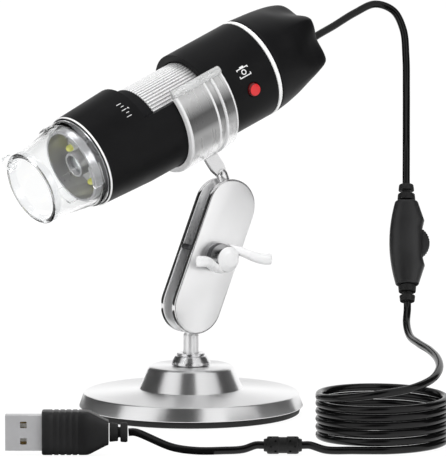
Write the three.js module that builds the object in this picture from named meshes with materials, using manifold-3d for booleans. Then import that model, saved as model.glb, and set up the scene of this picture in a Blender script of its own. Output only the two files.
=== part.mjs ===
// A USB digital microscope on a ball-jointed desk stand, in millimetres, +Z up.
// The origin is the middle of the round base, on the surface that it stands on.
import * as THREE from "three";
import { mergeVertices } from "three/addons/utils/BufferGeometryUtils.js";
import Module from "manifold-3d";

const wasm = await Module();
wasm.setup();

// Fits and resolution
const seatGap = 0.3; // between two pieces that touch
const runGap = 0.35; // round what turns or slides
const overrun = 1; // how far a cut runs past the piece that it cuts
const roundSides = 48;
const middleSides = 28;
const smallSides = 16;
const lobeSides = 10; // on each lobe of the tail cap
const curveSteps = 10;
const upperCordSteps = 34;
const middleCordSteps = 40;
const shortCordSteps = 12;
const plugCordSteps = 18;
const ballSteps = 12;
const edgeFrom = 10; // degrees of a rounded edge that show
const edgeTo = 80;
const hubEdgeFrom = 20;
const quarterTurn = 90;

// Round weighted base
const baseRadius = 39.2;
const baseRimInset = 1.5;
const baseRimTopRadius = baseRadius - baseRimInset;
const baseRimHeight = 7.2;
const baseEdgeRadius = 1.2;
const baseWall = 1.8;
const padInset = 1.2;
const padRadius = baseRadius - padInset;
const padHeight = 1.5;
const hubFootRadius = 18;
const hubFootHeight = 8.7;
const hubTopRadius = 13.6;
const hubHeight = 16.7;
const weightInset = 3.7;
const weightRadius = baseRimTopRadius - weightInset;
const weightBore = 15.5;
const weightHeight = 3.6;

// Collar, ball post and the nut that holds it
const collarFootRadius = 6.9;
const collarTopRadius = 4.3;
const collarLipRadius = 4.9;
const collarLipHeight = 0.9;
const collarHeight = 4.2;
const postRadius = 2.55;
const neckRadius = 2.1;
const ballRadius = 4;
const lowerBallHeight = 38.2;
const neckAngle = -58.3; // where the ball's surface meets its neck
const postTail = 6.5;
const postNutAcross = 10;
const postNutHeight = 3.2;

// Arm: two plates clamped on two balls
const armHeading = 35.3;
const armLean = 23.4;
const plateSpan = 36.5;
const plateEndRadius = 10;
const plateThickness = 2.2;
const plateGap = 5;
const plateEdge = 0.35;
const upperBallInset = 5.7;
const spacerWidth = 2.6;
const spacerHeight = 1.6;
const spacerReach = 0.4;

// Clamp screw, washer and wing nut at the middle of the arm
const screwRadius = 2;
const screwHeadRadius = 4.2;
const screwHeadHeight = 2;
const screwTipReach = 8.6;
const washerRadius = 4.9;
const washerThickness = 0.8;
const nutHubRadius = 4.9;
const nutHubHeight = 6.4;
const nutRecessRadius = 3.1;
const nutRecessDepth = 1.2;
const wingReach = 16;
const wingRise = 8.4;
const wingThickness = 2;
const wingHeight = 4;
const wingFootRise = 2.2;
const wingBendShare = 0.55;
const wingDipShare = 2.2;
const nutHubTaperShare = 0.94;
const screwHeadShoulderShare = 0.9;

// Head: ball neck, strap and the clip round the barrel
const scopeTilt = 21.5;
const strapLean = 29;
const headNeckLength = 8;
const strapReach = 8.2;
const strapWidth = 5.8;
const strapThickness = 1.4;
const strapTaper = 3;
const clipWidth = 21.4;
const clipWall = 2.1;
const clipHalfAngle = 95;
const clipLipRadius = 1.7;
const clipGrooveStart = 13.5;
const clipGrooveWidth = 2.5;
const clipGrooveDepth = 0.7;

// Barrel, with stations along its axis from the front rim to the tail
const barrelRadius = 18;
const barrelFrontStep = 1.1;
const barrelFrontRadius = barrelRadius - barrelFrontStep;
const barrelTaperEnd = 21.2;
const barrelWall = 2.5;
const barrelBore = barrelRadius - barrelWall;
const barrelLength = 75.8;
const barrelEdge = 0.6;
const rearBodyLength = 26.4;
const windowEnd = barrelLength - rearBodyLength;
const clipSetback = 4.7;
const clipStation = windowEnd - clipSetback;
const strapLength = barrelRadius + clipWall + strapReach;
const windowMiddleAngle = -72;
const windowHalfAngle = 74;
const ledgeWidth = 2.6;
const ledgeThickness = 1.5;
const ledLedgeStation = 6;
const rearLedgeSetback = 4;
const rearLedgeStation = windowEnd + rearLedgeSetback;

// Index ring and ribbed focus wheel in the window
const indexRingLength = 5.3;
const indexRingWall = 3;
const wheelSideGap = 0.5;
const wheelRadius = barrelBore - wheelSideGap;
const wheelRibDepth = 0.55;
const wheelRibs = 72;
const wheelWall = 5.6;
const wheelBore = wheelRadius - wheelWall;
const wheelGap = 0.4;

// Lens carriage, lens barrel and front lens
const carriageWall = 1.6;
const carriageStart = 10;
const carriageSetback = 3.9;
const carriageEnd = rearLedgeStation - carriageSetback;
const lensBarrelRadius = 4.5;
const lensBarrelFront = -3;
const lensBarrelWall = 0.8;
const lensFlangeLength = 2.7;
const lensThickness = 1.9;
const lensRecess = 0.6;
const lensCrown = 0.7;

// Clear nose cap, reflector cup and ring of lamps
const capFlangeSetback = 0.7;
const capFlangeRadius = barrelFrontRadius - capFlangeSetback;
const capFlangeLength = 2.2;
const capFlangeStep = 0.5;
const capConeRadius = capFlangeRadius - capFlangeStep;
const capConeTaper = 2.8;
const capNeckRadius = capConeRadius - capConeTaper;
const capFrontStation = -22.2;
const capRingProud = 0.4;
const capRingRadius = capNeckRadius + capRingProud;
const capRingLength = 2.6;
const capRingStart = capFrontStation + capRingLength;
const capNeckStation = capRingStart + capRingProud;
const capWall = 1.2;
const capSpigotDepth = 3.5;
const capSpigotWall = 1;
const capStepLength = 0.4;
const capTabAngle = -115;
const capTabProud = 3.2;
const capTabReach = capRingRadius + capTabProud;
const capTabWidth = 3.5;
const cupFrontStation = -4.4;
const cupSideGap = 1.6;
const cupRadius = barrelBore - cupSideGap;
const cupRimWidth = 0.9;
const cupMouthInset = 1.3;
const cupMouthRadius = cupRadius - cupMouthInset;
const cupFloorInset = 2;
const cupFloorRadius = cupRadius - cupFloorInset;
const boardThickness = 1.3;
const boardBoreGap = 0.7;
const ledCount = 8;
const ledInset = 1.9;
const ledCircle = cupFloorRadius - ledInset;
const ledRadius = 1.3;
const ledBody = 0.9;
const ledSides = 10;

// Electronics, shutter button and light ring in the rear body
const sensorSize = 8;
const sensorThickness = 1;
const mainBoardWidth = 16;
const mainBoardLength = 16;
const mainBoardInset = 6.5;
const mainBoardRadial = barrelBore - mainBoardInset;
const switchSize = 6;
const switchHeight = 2.5;
const buttonSetback = 10.3;
const buttonStation = barrelLength - buttonSetback;
const buttonAngle = 32.4;
const buttonRadius = 2.5;
const buttonProud = 1.2;
const buttonFlange = 0.8;
const buttonFlangeThickness = 0.9;
const buttonHoleGap = 0.25;
const buttonCrown = 0.4;
const lightRingProud = 0.1;
const lightRingRadius = barrelRadius + lightRingProud;
const lightRingLength = 1.5;

// Scalloped tail cap and the gland in it
const tailReach = 26.7;
const tailEndStation = barrelLength + tailReach;
const tailWall = 1.9;
const tailSpigotLength = 7.5;
const tailSpigotWall = 1.8;
const tailLobes = 5;
const tailLobeAngle = -83.3;
const tailScallopShare = 0.27;
const tailRadiusShares = [1, 0.985, 0.955, 0.905, 0.83, 0.77, 0.68];
const tailStationShares = [0, 0.16, 0.42, 0.68, 0.88, 0.96, 1];
const tailScallopShares = [0, 0.02, 0.16, 0.5, 0.85, 0.97, 1];
const tailRecessRadius = 6.4;
const tailRecessDepth = 6;
const glandRadius = 2.6;
const glandFlange = 0.9;
const glandLength = 4.6;
const cordOffset = 2.9;
const cordOffsetAngle = 96.7;

// Cord and the hand-chosen points of its route
const cordDiameter = 2.3;
const cordSides = 8;
const coilRadius = 21.5;
const coilCentre = [65.5, -70];
const coilTurns = 5.75;
const coilPitch = 2.75;
const coilSteps = 24;
const coilSides = 6;
const upperRoute = [
  [43.6, 46.6, 127.4],
  [50.6, 51.5, 131.1],
  [58.2, 56.2, 135.3],
  [65.5, 58.9, 138.2],
  [71.9, 58.6, 135.9],
  [75.4, 55.4, 129.5],
  [76.3, 50.2, 120.2],
  [76.3, 43.1, 109.3],
  [76.1, 34.4, 98.8],
  [75.9, 26.3, 90.5],
];
const middleRoute = [
  [75.3, -6.4, 32.6],
  [76.2, -15.5, 29.4],
  [79, -29, 28.6],
  [82.4, -43, 28.2],
  [84.7, -57, 27.2],
  [84.7, -70, 25.6],
  [81.4, -81.5, 23.6],
  [73.8, -89.6, 21.8],
  [62.8, -92, 20.3],
  [52.4, -88, 18.6],
  [45.8, -80.6, 17.4],
];
const runRoute = [
  [55, -91.5, 1.2],
  [46, -91.5, 1.35],
];
const ferriteRoute = [
  [18, -91.6, 1.6],
  [11, -91.8, 1.2],
  [2, -92, 1.2],
  [-6, -92, 2.4],
];

// Inline brightness control
const controlPlace = [75.75, 10.1, 58.5];
const controlSlant = 26;
const controlLength = 31;
const controlWidth = 12.3;
const controlEndWidth = 7.9;
const controlThickness = 8.6;
const controlEndThickness = 6.2;
const controlSquareness = 2.6;
const controlStationShares = [-1, -0.72, -0.38, 0, 0.38, 0.72, 1];
const dialRadius = 6.3;
const dialThickness = 2.6;
const dialProud = 1.9;
const dialNotches = 24;
const dialNotchDepth = 0.25;
const dialAxleRadius = 1.1;
const dialAxleReach = 0.9;
const reliefCapRadius = 3;
const reliefTipRadius = 2.5;
const reliefNeckRadius = 1.5;
const reliefCapLength = 2.6;
const reliefNeckLength = 0.7;
const reliefTipLength = 2.5;
const reliefPegRadius = 1.9;
const reliefPegLength = 2.4;
const reliefCapTaperShare = 0.93;
const reliefTipTaperShare = 0.05;
const screwPostRadius = 1.5;
const screwPostPlace = -9.4;
const screwPostDepth = 2.6;

// Ferrite core and the plug
const ferriteRadius = 3;
const ferriteLength = 12.9;
const ferritePlace = [31.4, -91.5];
const ferriteEdge = 0.9;
const plugPlace = [-21, -92];
const plugWidth = 15;
const plugThickness = 8;
const plugLength = 22.5;
const plugTailWidth = 8.6;
const plugTaperLength = 6.5;
const plugBevel = 1.1;
const plugShellWidth = 12;
const plugShellHeight = 4.5;
const plugShellWall = 0.4;
const plugShellReach = 12.4;
const plugPocketDepth = 5;
const plugHoleSize = 2.2;
const plugHoleInset = 6.2;
const plugHoleSpacing = 5.6;
const plugTongueThickness = 1.8;
const plugTongueInset = 0.9;
const plugReliefRadius = 3.4;
const plugReliefLength = 6.4;
const plugReliefSteps = 8;
const plugReliefTaperShare = 0.9;

// Colours and finishes seen in the photograph
const finishes = {
  steel: { color: "#c9cbcf", roughness: 0.28, metalness: 1 },
  rubber: { color: "#121212", roughness: 0.8, metalness: 0 },
  iron: { color: "#4a4b4e", roughness: 0.6, metalness: 0.9 },
  chrome: { color: "#e6e7ea", roughness: 0.12, metalness: 1 },
  clearSteel: { color: "#b9bcc1", roughness: 0.2, metalness: 0.6 },
  blackSatin: { color: "#17181a", roughness: 0.45, metalness: 0 },
  blackGloss: { color: "#0e0e10", roughness: 0.25, metalness: 0 },
  silverPaint: { color: "#c4c6c8", roughness: 0.4, metalness: 0.3 },
  clearPlastic: { color: "#e8eef0", roughness: 0.1, metalness: 0, opacity: 0.35, transparent: true },
  greyPlastic: { color: "#8f9294", roughness: 0.5, metalness: 0 },
  whitePlastic: { color: "#ededea", roughness: 0.5, metalness: 0 },
  lampYellow: { color: "#f4eea2", roughness: 0.3, metalness: 0 },
  glass: { color: "#9fb2b8", roughness: 0.05, metalness: 0, opacity: 0.4, transparent: true },
  green: { color: "#1f5a36", roughness: 0.6, metalness: 0 },
  red: { color: "#c8151b", roughness: 0.35, metalness: 0 },
  cordBlack: { color: "#141416", roughness: 0.5, metalness: 0 },
};

const part = new THREE.Group();
const rad = THREE.MathUtils.degToRad;

// Turns a geometry into a solid, with shared corners merged and empty triangles left out
function solid(geometry) {
  const plain = geometry.clone();
  plain.deleteAttribute("normal");
  plain.deleteAttribute("uv");
  const merged = mergeVertices(plain);
  const index = merged.index.array;
  const kept = [];
  for (let i = 0; i < index.length; i += 3) {
    const [a, b, c] = [index[i], index[i + 1], index[i + 2]];
    if (a !== b && b !== c && c !== a) kept.push(a, b, c);
  }
  const vertProperties = new Float32Array(merged.attributes.position.array);
  return new wasm.Manifold(
    new wasm.Mesh({ numProp: 3, vertProperties, triVerts: new Uint32Array(kept) }),
  );
}

// Turns a solid back into a geometry that can be drawn
function surface(manifold) {
  const mesh = manifold.getMesh();
  const geometry = new THREE.BufferGeometry();
  geometry.setAttribute("position", new THREE.BufferAttribute(mesh.vertProperties, 3));
  geometry.setIndex(new THREE.BufferAttribute(mesh.triVerts, 1));
  geometry.computeVertexNormals();
  return geometry;
}

function addPiece(group, name, shape, finish) {
  const geometry = shape.isBufferGeometry ? surface(solid(shape)) : surface(shape);
  const mesh = new THREE.Mesh(geometry, new THREE.MeshStandardMaterial(finishes[finish]));
  mesh.name = name;
  group.add(mesh);
  return mesh;
}

// A body turned round Z from [radius, height] points, listed upwards along the outside
function turned(points, sides = roundSides) {
  const profile = points.map(([radius, height]) => new THREE.Vector2(radius, height));
  return new THREE.LatheGeometry(profile, sides).rotateX(Math.PI / 2);
}

function tube(outer, inner, low, high, sides = roundSides) {
  return turned([[inner, low], [outer, low], [outer, high], [inner, high], [inner, low]], sides);
}

function disc(radius, low, high, sides = smallSides) {
  return turned([[0, low], [radius, low], [radius, high], [0, high]], sides);
}

function block(width, depth, height, x = 0, y = 0, z = 0) {
  return new THREE.BoxGeometry(width, depth, height).translate(x, y, z);
}

function extruded(shape, depth, edge = 0, curveSegments = curveSteps) {
  const settings = { depth: depth - 2 * edge, bevelEnabled: edge > 0, bevelSegments: 1, curveSegments };
  Object.assign(settings, { bevelSize: edge, bevelThickness: edge, bevelOffset: -edge });
  return new THREE.ExtrudeGeometry(shape, settings).translate(0, 0, edge);
}

// A quarter round of [radius, height] points about a centre, from one angle to another
function roundedCorner(radius, height, size, from, to, steps = 3) {
  return Array.from({ length: steps + 1 }, (_, i) => {
    const angle = rad(from + ((to - from) * i) / steps);
    return [radius + size * Math.cos(angle), height + size * Math.sin(angle)];
  });
}

function cordTube(points, steps) {
  const curve = new THREE.CatmullRomCurve3(points, false, "centripetal");
  const section = new THREE.Shape();
  for (let i = 0; i < cordSides; i++) {
    const angle = (2 * Math.PI * (i + 1 / 2)) / cordSides;
    const corner = [(cordDiameter / 2) * Math.cos(angle), (cordDiameter / 2) * Math.sin(angle)];
    if (i) section.lineTo(...corner);
    else section.moveTo(...corner);
  }
  section.closePath();
  return new THREE.ExtrudeGeometry(section, { steps, extrudePath: curve, curveSegments: 1 });
}

// A ring of corners at one height, with a radius for each angle, or a pair of half widths
function ring(sides, height, radiusAt) {
  return Array.from({ length: sides }, (_, j) => {
    const angle = (2 * Math.PI * j) / sides;
    const radius = radiusAt(angle);
    return [radius * Math.cos(angle), radius * Math.sin(angle), height];
  });
}

// A closed body through rings of corners, listed upwards, with a flat face at each end
function lofted(rings) {
  const sides = rings[0].length;
  const corners = [...rings.flat(2), 0, 0, rings[0][0][2], 0, 0, rings[rings.length - 1][0][2]];
  const faces = [];
  const bottom = rings.length * sides;
  for (let j = 0; j < sides; j++) {
    const next = (j + 1) % sides;
    for (let i = 0; i < rings.length - 1; i++) {
      const [low, high] = [i * sides, (i + 1) * sides];
      faces.push(low + j, low + next, high + next, low + j, high + next, high + j);
    }
    faces.push(bottom, next, j);
    faces.push(bottom + 1, (rings.length - 1) * sides + j, (rings.length - 1) * sides + next);
  }
  const geometry = new THREE.BufferGeometry();
  geometry.setAttribute("position", new THREE.Float32BufferAttribute(corners, 3));
  geometry.setIndex(faces);
  return geometry;
}

const point = (coordinates) => new THREE.Vector3(...coordinates);

// The base: a spun shell over an iron weight, closed by a rubber pad
const shellLow = padHeight + seatGap;
const edgeRound = (radius, height, from, to) =>
  roundedCorner(radius - baseEdgeRadius, height - baseEdgeRadius, baseEdgeRadius, from, to);
const rimEdge = edgeRound(baseRimTopRadius, baseRimHeight, edgeFrom, edgeTo);
const hubEdge = edgeRound(hubTopRadius, hubHeight, hubEdgeFrom, quarterTurn);
const postHole = postRadius + runGap;
const shellProfile = [
  [baseRadius - baseWall, shellLow],
  [baseRadius - baseEdgeRadius / 2, shellLow],
  [baseRadius, shellLow + baseEdgeRadius / 2],
  ...rimEdge,
  [(baseRimTopRadius + hubFootRadius) / 2, (baseRimHeight + hubFootHeight) / 2],
  [hubFootRadius, hubFootHeight],
  ...hubEdge,
  [postHole, hubHeight],
  [postHole, hubHeight - baseWall],
  [hubTopRadius - baseWall, hubHeight - baseWall],
  [hubFootRadius - baseWall, hubFootHeight - baseWall],
  [baseRimTopRadius - 2 * baseWall, baseRimHeight - baseWall],
  [baseRadius - baseWall, shellLow],
];
addPiece(part, "base_shell", turned(shellProfile), "steel");
addPiece(part, "base_pad", disc(padRadius, 0, padHeight, roundSides), "rubber");
const weightLow = padHeight + seatGap;
const baseWeight = tube(weightRadius, weightBore, weightLow, weightLow + weightHeight, middleSides);
addPiece(part, "base_weight", baseWeight, "iron");

const collarLow = hubHeight + seatGap;
const collarProfile = [
  [postHole, collarLow],
  [collarFootRadius, collarLow],
  [collarTopRadius, collarLow + collarHeight - collarLipHeight],
  [collarLipRadius, collarLow + collarHeight - collarLipHeight],
  [collarLipRadius, collarLow + collarHeight],
  [postHole, collarLow + collarHeight],
  [postHole, collarLow],
];
addPiece(part, "post_collar", turned(collarProfile, middleSides), "steel");

const nutTop = hubHeight - baseWall - seatGap;
const postNut = solid(disc(postNutAcross / Math.sqrt(3), nutTop - postNutHeight, nutTop, 6)).subtract(
  solid(disc(postHole, nutTop - postNutHeight - overrun, nutTop + overrun)),
);
addPiece(part, "post_nut", postNut, "iron");

// Ball post: the neck is thin enough to pass between the arm's plates
const ballPostProfile = [
  [0, nutTop - postTail],
  [postRadius, nutTop - postTail],
  [postRadius, lowerBallHeight - plateEndRadius - postRadius],
  [neckRadius, lowerBallHeight - plateEndRadius],
  ...roundedCorner(0, lowerBallHeight, ballRadius, neckAngle, 90, ballSteps),
];
ballPostProfile[ballPostProfile.length - 1][0] = 0;
addPiece(part, "ball_post", turned(ballPostProfile, smallSides), "chrome");

// Arm frame: local X along the heading, local Z up the arm from the lower ball
const heading = new THREE.Group();
heading.rotation.z = rad(armHeading);
part.add(heading);
const arm = new THREE.Group();
arm.position.z = lowerBallHeight;
arm.rotation.y = rad(armLean);
heading.add(arm);

const upperBallPlace = plateSpan + plateEndRadius - upperBallInset;
const screwPlace = plateSpan / 2;
const ballPocket = new THREE.SphereGeometry(ballRadius + runGap, smallSides, smallSides / 2);
const plateOutline = new THREE.Shape();
plateOutline.absarc(0, 0, plateEndRadius, Math.PI, 2 * Math.PI, false);
plateOutline.absarc(0, plateSpan, plateEndRadius, 0, Math.PI, false);
plateOutline.closePath();

function armPlate(side) {
  const inner = side * (plateGap / 2);
  const plate = extruded(plateOutline, plateThickness, plateEdge).rotateX(Math.PI / 2);
  plate.translate(0, side > 0 ? inner + plateThickness : inner, 0);
  const hole = disc(screwRadius + runGap, -plateGap - overrun, plateGap + overrun);
  hole.rotateX(Math.PI / 2).translate(0, 0, screwPlace);
  return solid(plate)
    .subtract(solid(ballPocket))
    .subtract(solid(ballPocket.clone().translate(0, 0, upperBallPlace)))
    .subtract(solid(hole));
}
addPiece(arm, "rear_plate", armPlate(1), "chrome");
addPiece(arm, "front_plate", armPlate(-1), "chrome");

const spacerX = -(plateEndRadius + spacerReach - spacerWidth / 2);
const spacerDepth = plateGap - 2 * seatGap;
addPiece(arm, "spacer_tab", block(spacerWidth, spacerDepth, spacerHeight, spacerX, 0, screwPlace), "iron");

// Clamp screw from the rear, washer and wing nut at the front
const plateFace = plateGap / 2 + plateThickness;
const screwProfile = [
  [0, -plateFace - screwTipReach],
  [screwRadius, -plateFace - screwTipReach],
  [screwRadius, plateFace + seatGap],
  [screwHeadRadius, plateFace + seatGap],
  [screwHeadRadius * screwHeadShoulderShare, plateFace + seatGap + screwHeadHeight / 2],
  [screwHeadRadius / 2, plateFace + seatGap + screwHeadHeight],
  [0, plateFace + seatGap + screwHeadHeight],
];
const clampScrew = turned(screwProfile, smallSides).rotateX(-Math.PI / 2).translate(0, 0, screwPlace);
addPiece(arm, "clamp_screw", clampScrew, "steel");
const washerLow = plateFace + seatGap;
const washer = tube(washerRadius, screwRadius + runGap, washerLow, washerLow + washerThickness, smallSides);
addPiece(arm, "clamp_washer", washer.rotateX(Math.PI / 2).translate(0, 0, screwPlace), "steel");

// Wing nut: a round hub with two ribbons that sweep out and forward in an S
const nutFrame = new THREE.Group();
nutFrame.position.set(0, 0, screwPlace);
nutFrame.rotation.y = rad(-armLean);
arm.add(nutFrame);
const nutLow = washerLow + washerThickness + seatGap;

function wingOutline() {
  const root = nutHubRadius / 2;
  const bend = wingReach * wingBendShare;
  const foot = nutLow + wingFootRise;
  const tip = nutLow + wingRise;
  const half = wingThickness / 2;
  const shape = new THREE.Shape();
  shape.moveTo(root, foot - half);
  shape.bezierCurveTo(bend, foot - half * wingDipShare, bend, tip - half, wingReach - half, tip - half);
  shape.absarc(wingReach - half, tip, half, -Math.PI / 2, Math.PI / 2, false);
  shape.bezierCurveTo(bend - wingThickness, tip + half, bend, foot + wingThickness, root, foot + half * 2);
  shape.closePath();
  return shape;
}
const nutHub = solid(
  turned(
    [
      [screwRadius + runGap, nutLow],
      [nutHubRadius, nutLow],
      [nutHubRadius * nutHubTaperShare, nutLow + nutHubHeight],
      [nutRecessRadius, nutLow + nutHubHeight],
      [nutRecessRadius, nutLow + nutHubHeight - nutRecessDepth],
      [screwRadius + runGap, nutLow + nutHubHeight - nutRecessDepth],
      [screwRadius + runGap, nutLow],
    ],
    middleSides,
  ).rotateX(Math.PI / 2),
);
const wingBar = extruded(wingOutline(), wingHeight, wingThickness / 5, curveSteps / 2);
wingBar.translate(0, 0, -wingHeight / 2);
const rightWing = solid(wingBar.clone().scale(1, -1, -1));
const leftWing = solid(wingBar.clone().scale(-1, -1, 1));
const nutBore = solid(disc(screwRadius + runGap, 0, 3 * nutHubHeight).rotateX(Math.PI / 2));
addPiece(nutFrame, "wing_nut", nutHub.add(rightWing).add(leftWing).subtract(nutBore), "chrome");

// Head frame: local X and Y across the barrel, local Y along the strap, local Z towards the tail
const headHeading = new THREE.Vector3(Math.cos(rad(scopeTilt)), 0, Math.sin(rad(scopeTilt)));
const headDown = new THREE.Vector3(Math.sin(rad(scopeTilt)), 0, -Math.cos(rad(scopeTilt)));
const headSide = new THREE.Vector3(0, -1, 0);
const strapDirection = headDown.clone().multiplyScalar(Math.cos(rad(strapLean)));
strapDirection.addScaledVector(headSide, Math.sin(rad(strapLean)));
const crossDirection = strapDirection.clone().cross(headHeading);
const upperBall = new THREE.Vector3(
  upperBallPlace * Math.sin(rad(armLean)),
  0,
  lowerBallHeight + upperBallPlace * Math.cos(rad(armLean)),
);

const neckFrame = new THREE.Group();
neckFrame.position.copy(upperBall);
neckFrame.rotation.y = -rad(scopeTilt);
heading.add(neckFrame);
const neckBore = disc(neckRadius + runGap, ballRadius / 2, ballRadius + overrun);
const ball = new THREE.SphereGeometry(ballRadius, smallSides, smallSides / 2).rotateX(Math.PI / 2);
addPiece(neckFrame, "upper_ball", solid(ball).subtract(solid(neckBore)), "chrome");

const scope = new THREE.Group();
scope.quaternion.setFromRotationMatrix(
  new THREE.Matrix4().makeBasis(crossDirection, strapDirection, headHeading),
);
scope.position.copy(upperBall);
scope.position.addScaledVector(headDown, -headNeckLength);
scope.position.addScaledVector(strapDirection, -strapLength);
scope.position.addScaledVector(headHeading, -clipStation);
heading.add(scope);

// Strap: a round neck out of the ball, a bend, then a flat strap up to the clip
const clipInner = barrelRadius + seatGap;
const clipOuter = clipInner + clipWall;
const strapTop = clipOuter + seatGap;
const strapOutline = new THREE.Shape();
strapOutline.moveTo(-strapWidth / 2, strapTop);
strapOutline.lineTo(strapWidth / 2, strapTop);
strapOutline.lineTo(strapWidth / 2, strapLength - strapTaper);
strapOutline.lineTo(neckRadius, strapLength);
strapOutline.lineTo(-neckRadius, strapLength);
strapOutline.lineTo(-strapWidth / 2, strapLength - strapTaper);
strapOutline.closePath();
const strapBlade = extruded(strapOutline, strapThickness, strapThickness / 5);
strapBlade.translate(0, 0, -strapThickness / 2).rotateY(-Math.PI / 2);
strapBlade.translate(0, 0, clipStation);
const neckPeg = disc(neckRadius, ballRadius / 2 + seatGap, headNeckLength);
neckPeg.translate(0, 0, -headNeckLength).rotateX(Math.PI / 2);
neckPeg.rotateZ(rad(strapLean)).translate(0, strapLength, clipStation);
const neckElbow = new THREE.SphereGeometry(neckRadius, smallSides, smallSides / 2);
neckElbow.translate(0, strapLength, clipStation);
const clipTongue = solid(strapBlade).add(solid(neckPeg)).add(solid(neckElbow));
addPiece(scope, "clip_tongue", clipTongue, "chrome");

// Clip: a ring open towards the top, with a groove round it and a rolled lip at each end
function arcBand(inner, outer, from, to) {
  const shape = new THREE.Shape();
  shape.absarc(0, 0, outer, rad(from), rad(to), false);
  shape.absarc(0, 0, inner, rad(to), rad(from), true);
  shape.closePath();
  return shape;
}
const clipStart = clipStation - clipWidth / 2;
const clipFrom = 90 - clipHalfAngle;
const clipTo = 90 + clipHalfAngle;
const clipBand = arcBand(clipInner, clipOuter, clipFrom, clipTo);
let clipRing = solid(extruded(clipBand, clipWidth, 0, 2 * curveSteps));
for (const angle of [clipFrom, clipTo]) {
  const lip = disc(clipLipRadius, 0, clipWidth, smallSides / 2);
  lip.translate(clipInner + clipLipRadius, 0, 0).rotateZ(rad(angle));
  clipRing = clipRing.add(solid(lip));
}
const clipGroove = tube(
  clipOuter + 2 * clipLipRadius,
  clipOuter - clipGrooveDepth,
  clipGrooveStart,
  clipGrooveStart + clipGrooveWidth,
);
clipRing = clipRing.subtract(solid(clipGroove)).translate([0, 0, clipStart]);
addPiece(scope, "clip_ring", clipRing, "clearSteel");

// Barrel housing: tapered nose, open window over the wheel, plain rear body, two inner ledges
const ledgeBore = barrelBore - ledgeWidth;
const housingProfile = [
  [barrelBore, 0],
  [barrelFrontRadius - barrelEdge, 0],
  [barrelFrontRadius, barrelEdge],
  [barrelRadius, barrelTaperEnd],
  [barrelRadius, barrelLength],
  [barrelBore, barrelLength],
  [barrelBore, rearLedgeStation + ledgeThickness],
  [ledgeBore, rearLedgeStation + ledgeThickness],
  [ledgeBore, rearLedgeStation],
  [barrelBore, rearLedgeStation],
  [barrelBore, ledLedgeStation + ledgeThickness],
  [ledgeBore, ledLedgeStation + ledgeThickness],
  [ledgeBore, ledLedgeStation],
  [barrelBore, ledLedgeStation],
  [barrelBore, 0],
];
const windowFrom = rad(windowMiddleAngle - windowHalfAngle);
const windowTo = rad(windowMiddleAngle + windowHalfAngle);
const windowShape = new THREE.Shape();
windowShape.moveTo(0, 0);
windowShape.absarc(0, 0, barrelRadius + overrun, windowFrom, windowTo, false);
windowShape.closePath();
const windowCut = extruded(windowShape, windowEnd - barrelTaperEnd).translate(0, 0, barrelTaperEnd);

// Places something along local Z on the radius at an angle round the barrel
function radially(geometry, angle, station) {
  return geometry.rotateY(Math.PI / 2).rotateZ(rad(angle)).translate(0, 0, station);
}
const buttonBore = disc(buttonRadius + buttonHoleGap, ledgeBore, barrelRadius + overrun);
const buttonHole = radially(buttonBore, buttonAngle, buttonStation);
const housing = solid(turned(housingProfile)).subtract(solid(windowCut)).subtract(solid(buttonHole));
addPiece(scope, "housing", housing, "blackSatin");

const insideRadius = barrelBore - seatGap;
const indexEnd = barrelTaperEnd + indexRingLength;
const indexRing = tube(insideRadius, insideRadius - indexRingWall, barrelTaperEnd, indexEnd);
addPiece(scope, "index_ring", indexRing, "blackSatin");

// Focus wheel with straight ribs
const wheelStart = indexEnd + wheelGap;
const wheelLength = rearLedgeStation - wheelGap - wheelStart;
const wheelShape = new THREE.Shape();
for (let i = 0; i < 4 * wheelRibs; i++) {
  const angle = ((i + 1 / 2) * 2 * Math.PI) / (4 * wheelRibs);
  const radius = i % 4 < 2 ? wheelRadius : wheelRadius - wheelRibDepth;
  const corner = [radius * Math.cos(angle), radius * Math.sin(angle)];
  if (i) wheelShape.lineTo(...corner);
  else wheelShape.moveTo(...corner);
}
wheelShape.closePath();
const wheelBody = solid(extruded(wheelShape, wheelLength)).subtract(
  solid(disc(wheelBore, -overrun, wheelLength + overrun, middleSides)),
);
addPiece(scope, "focus_wheel", wheelBody.translate([0, 0, wheelStart]), "silverPaint");

// Lens carriage, with the lens barrel and its front lens
const carriageRadius = wheelBore - wheelGap;
const carriageBore = carriageRadius - carriageWall;
const lensCarriage = tube(carriageRadius, carriageBore, carriageStart, carriageEnd, middleSides);
addPiece(scope, "lens_carriage", lensCarriage, "greyPlastic");
const lensBore = lensBarrelRadius - lensBarrelWall;
const flangeStart = carriageStart + seatGap;
const lensSeat = lensBarrelFront + lensRecess + lensThickness + seatGap;
const lensBarrelProfile = [
  [lensBore, lensBarrelFront],
  [lensBarrelRadius, lensBarrelFront],
  [lensBarrelRadius, flangeStart],
  [carriageBore - seatGap, flangeStart],
  [carriageBore - seatGap, flangeStart + lensFlangeLength],
  [lensBore - lensBarrelWall, flangeStart + lensFlangeLength],
  [lensBore - lensBarrelWall, lensSeat],
  [lensBore, lensSeat],
  [lensBore, lensBarrelFront],
];
addPiece(scope, "lens_barrel", turned(lensBarrelProfile, middleSides), "blackSatin");
const lensRadius = lensBore - seatGap;
const lensFront = lensBarrelFront + lensRecess;
const lensProfile = [
  [0, lensFront],
  [lensRadius / 2, lensFront + lensCrown / 4],
  [lensRadius, lensFront + lensCrown],
  [lensRadius, lensFront + lensThickness],
  [0, lensFront + lensThickness],
];
addPiece(scope, "objective_lens", turned(lensProfile, smallSides), "glass");

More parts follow.
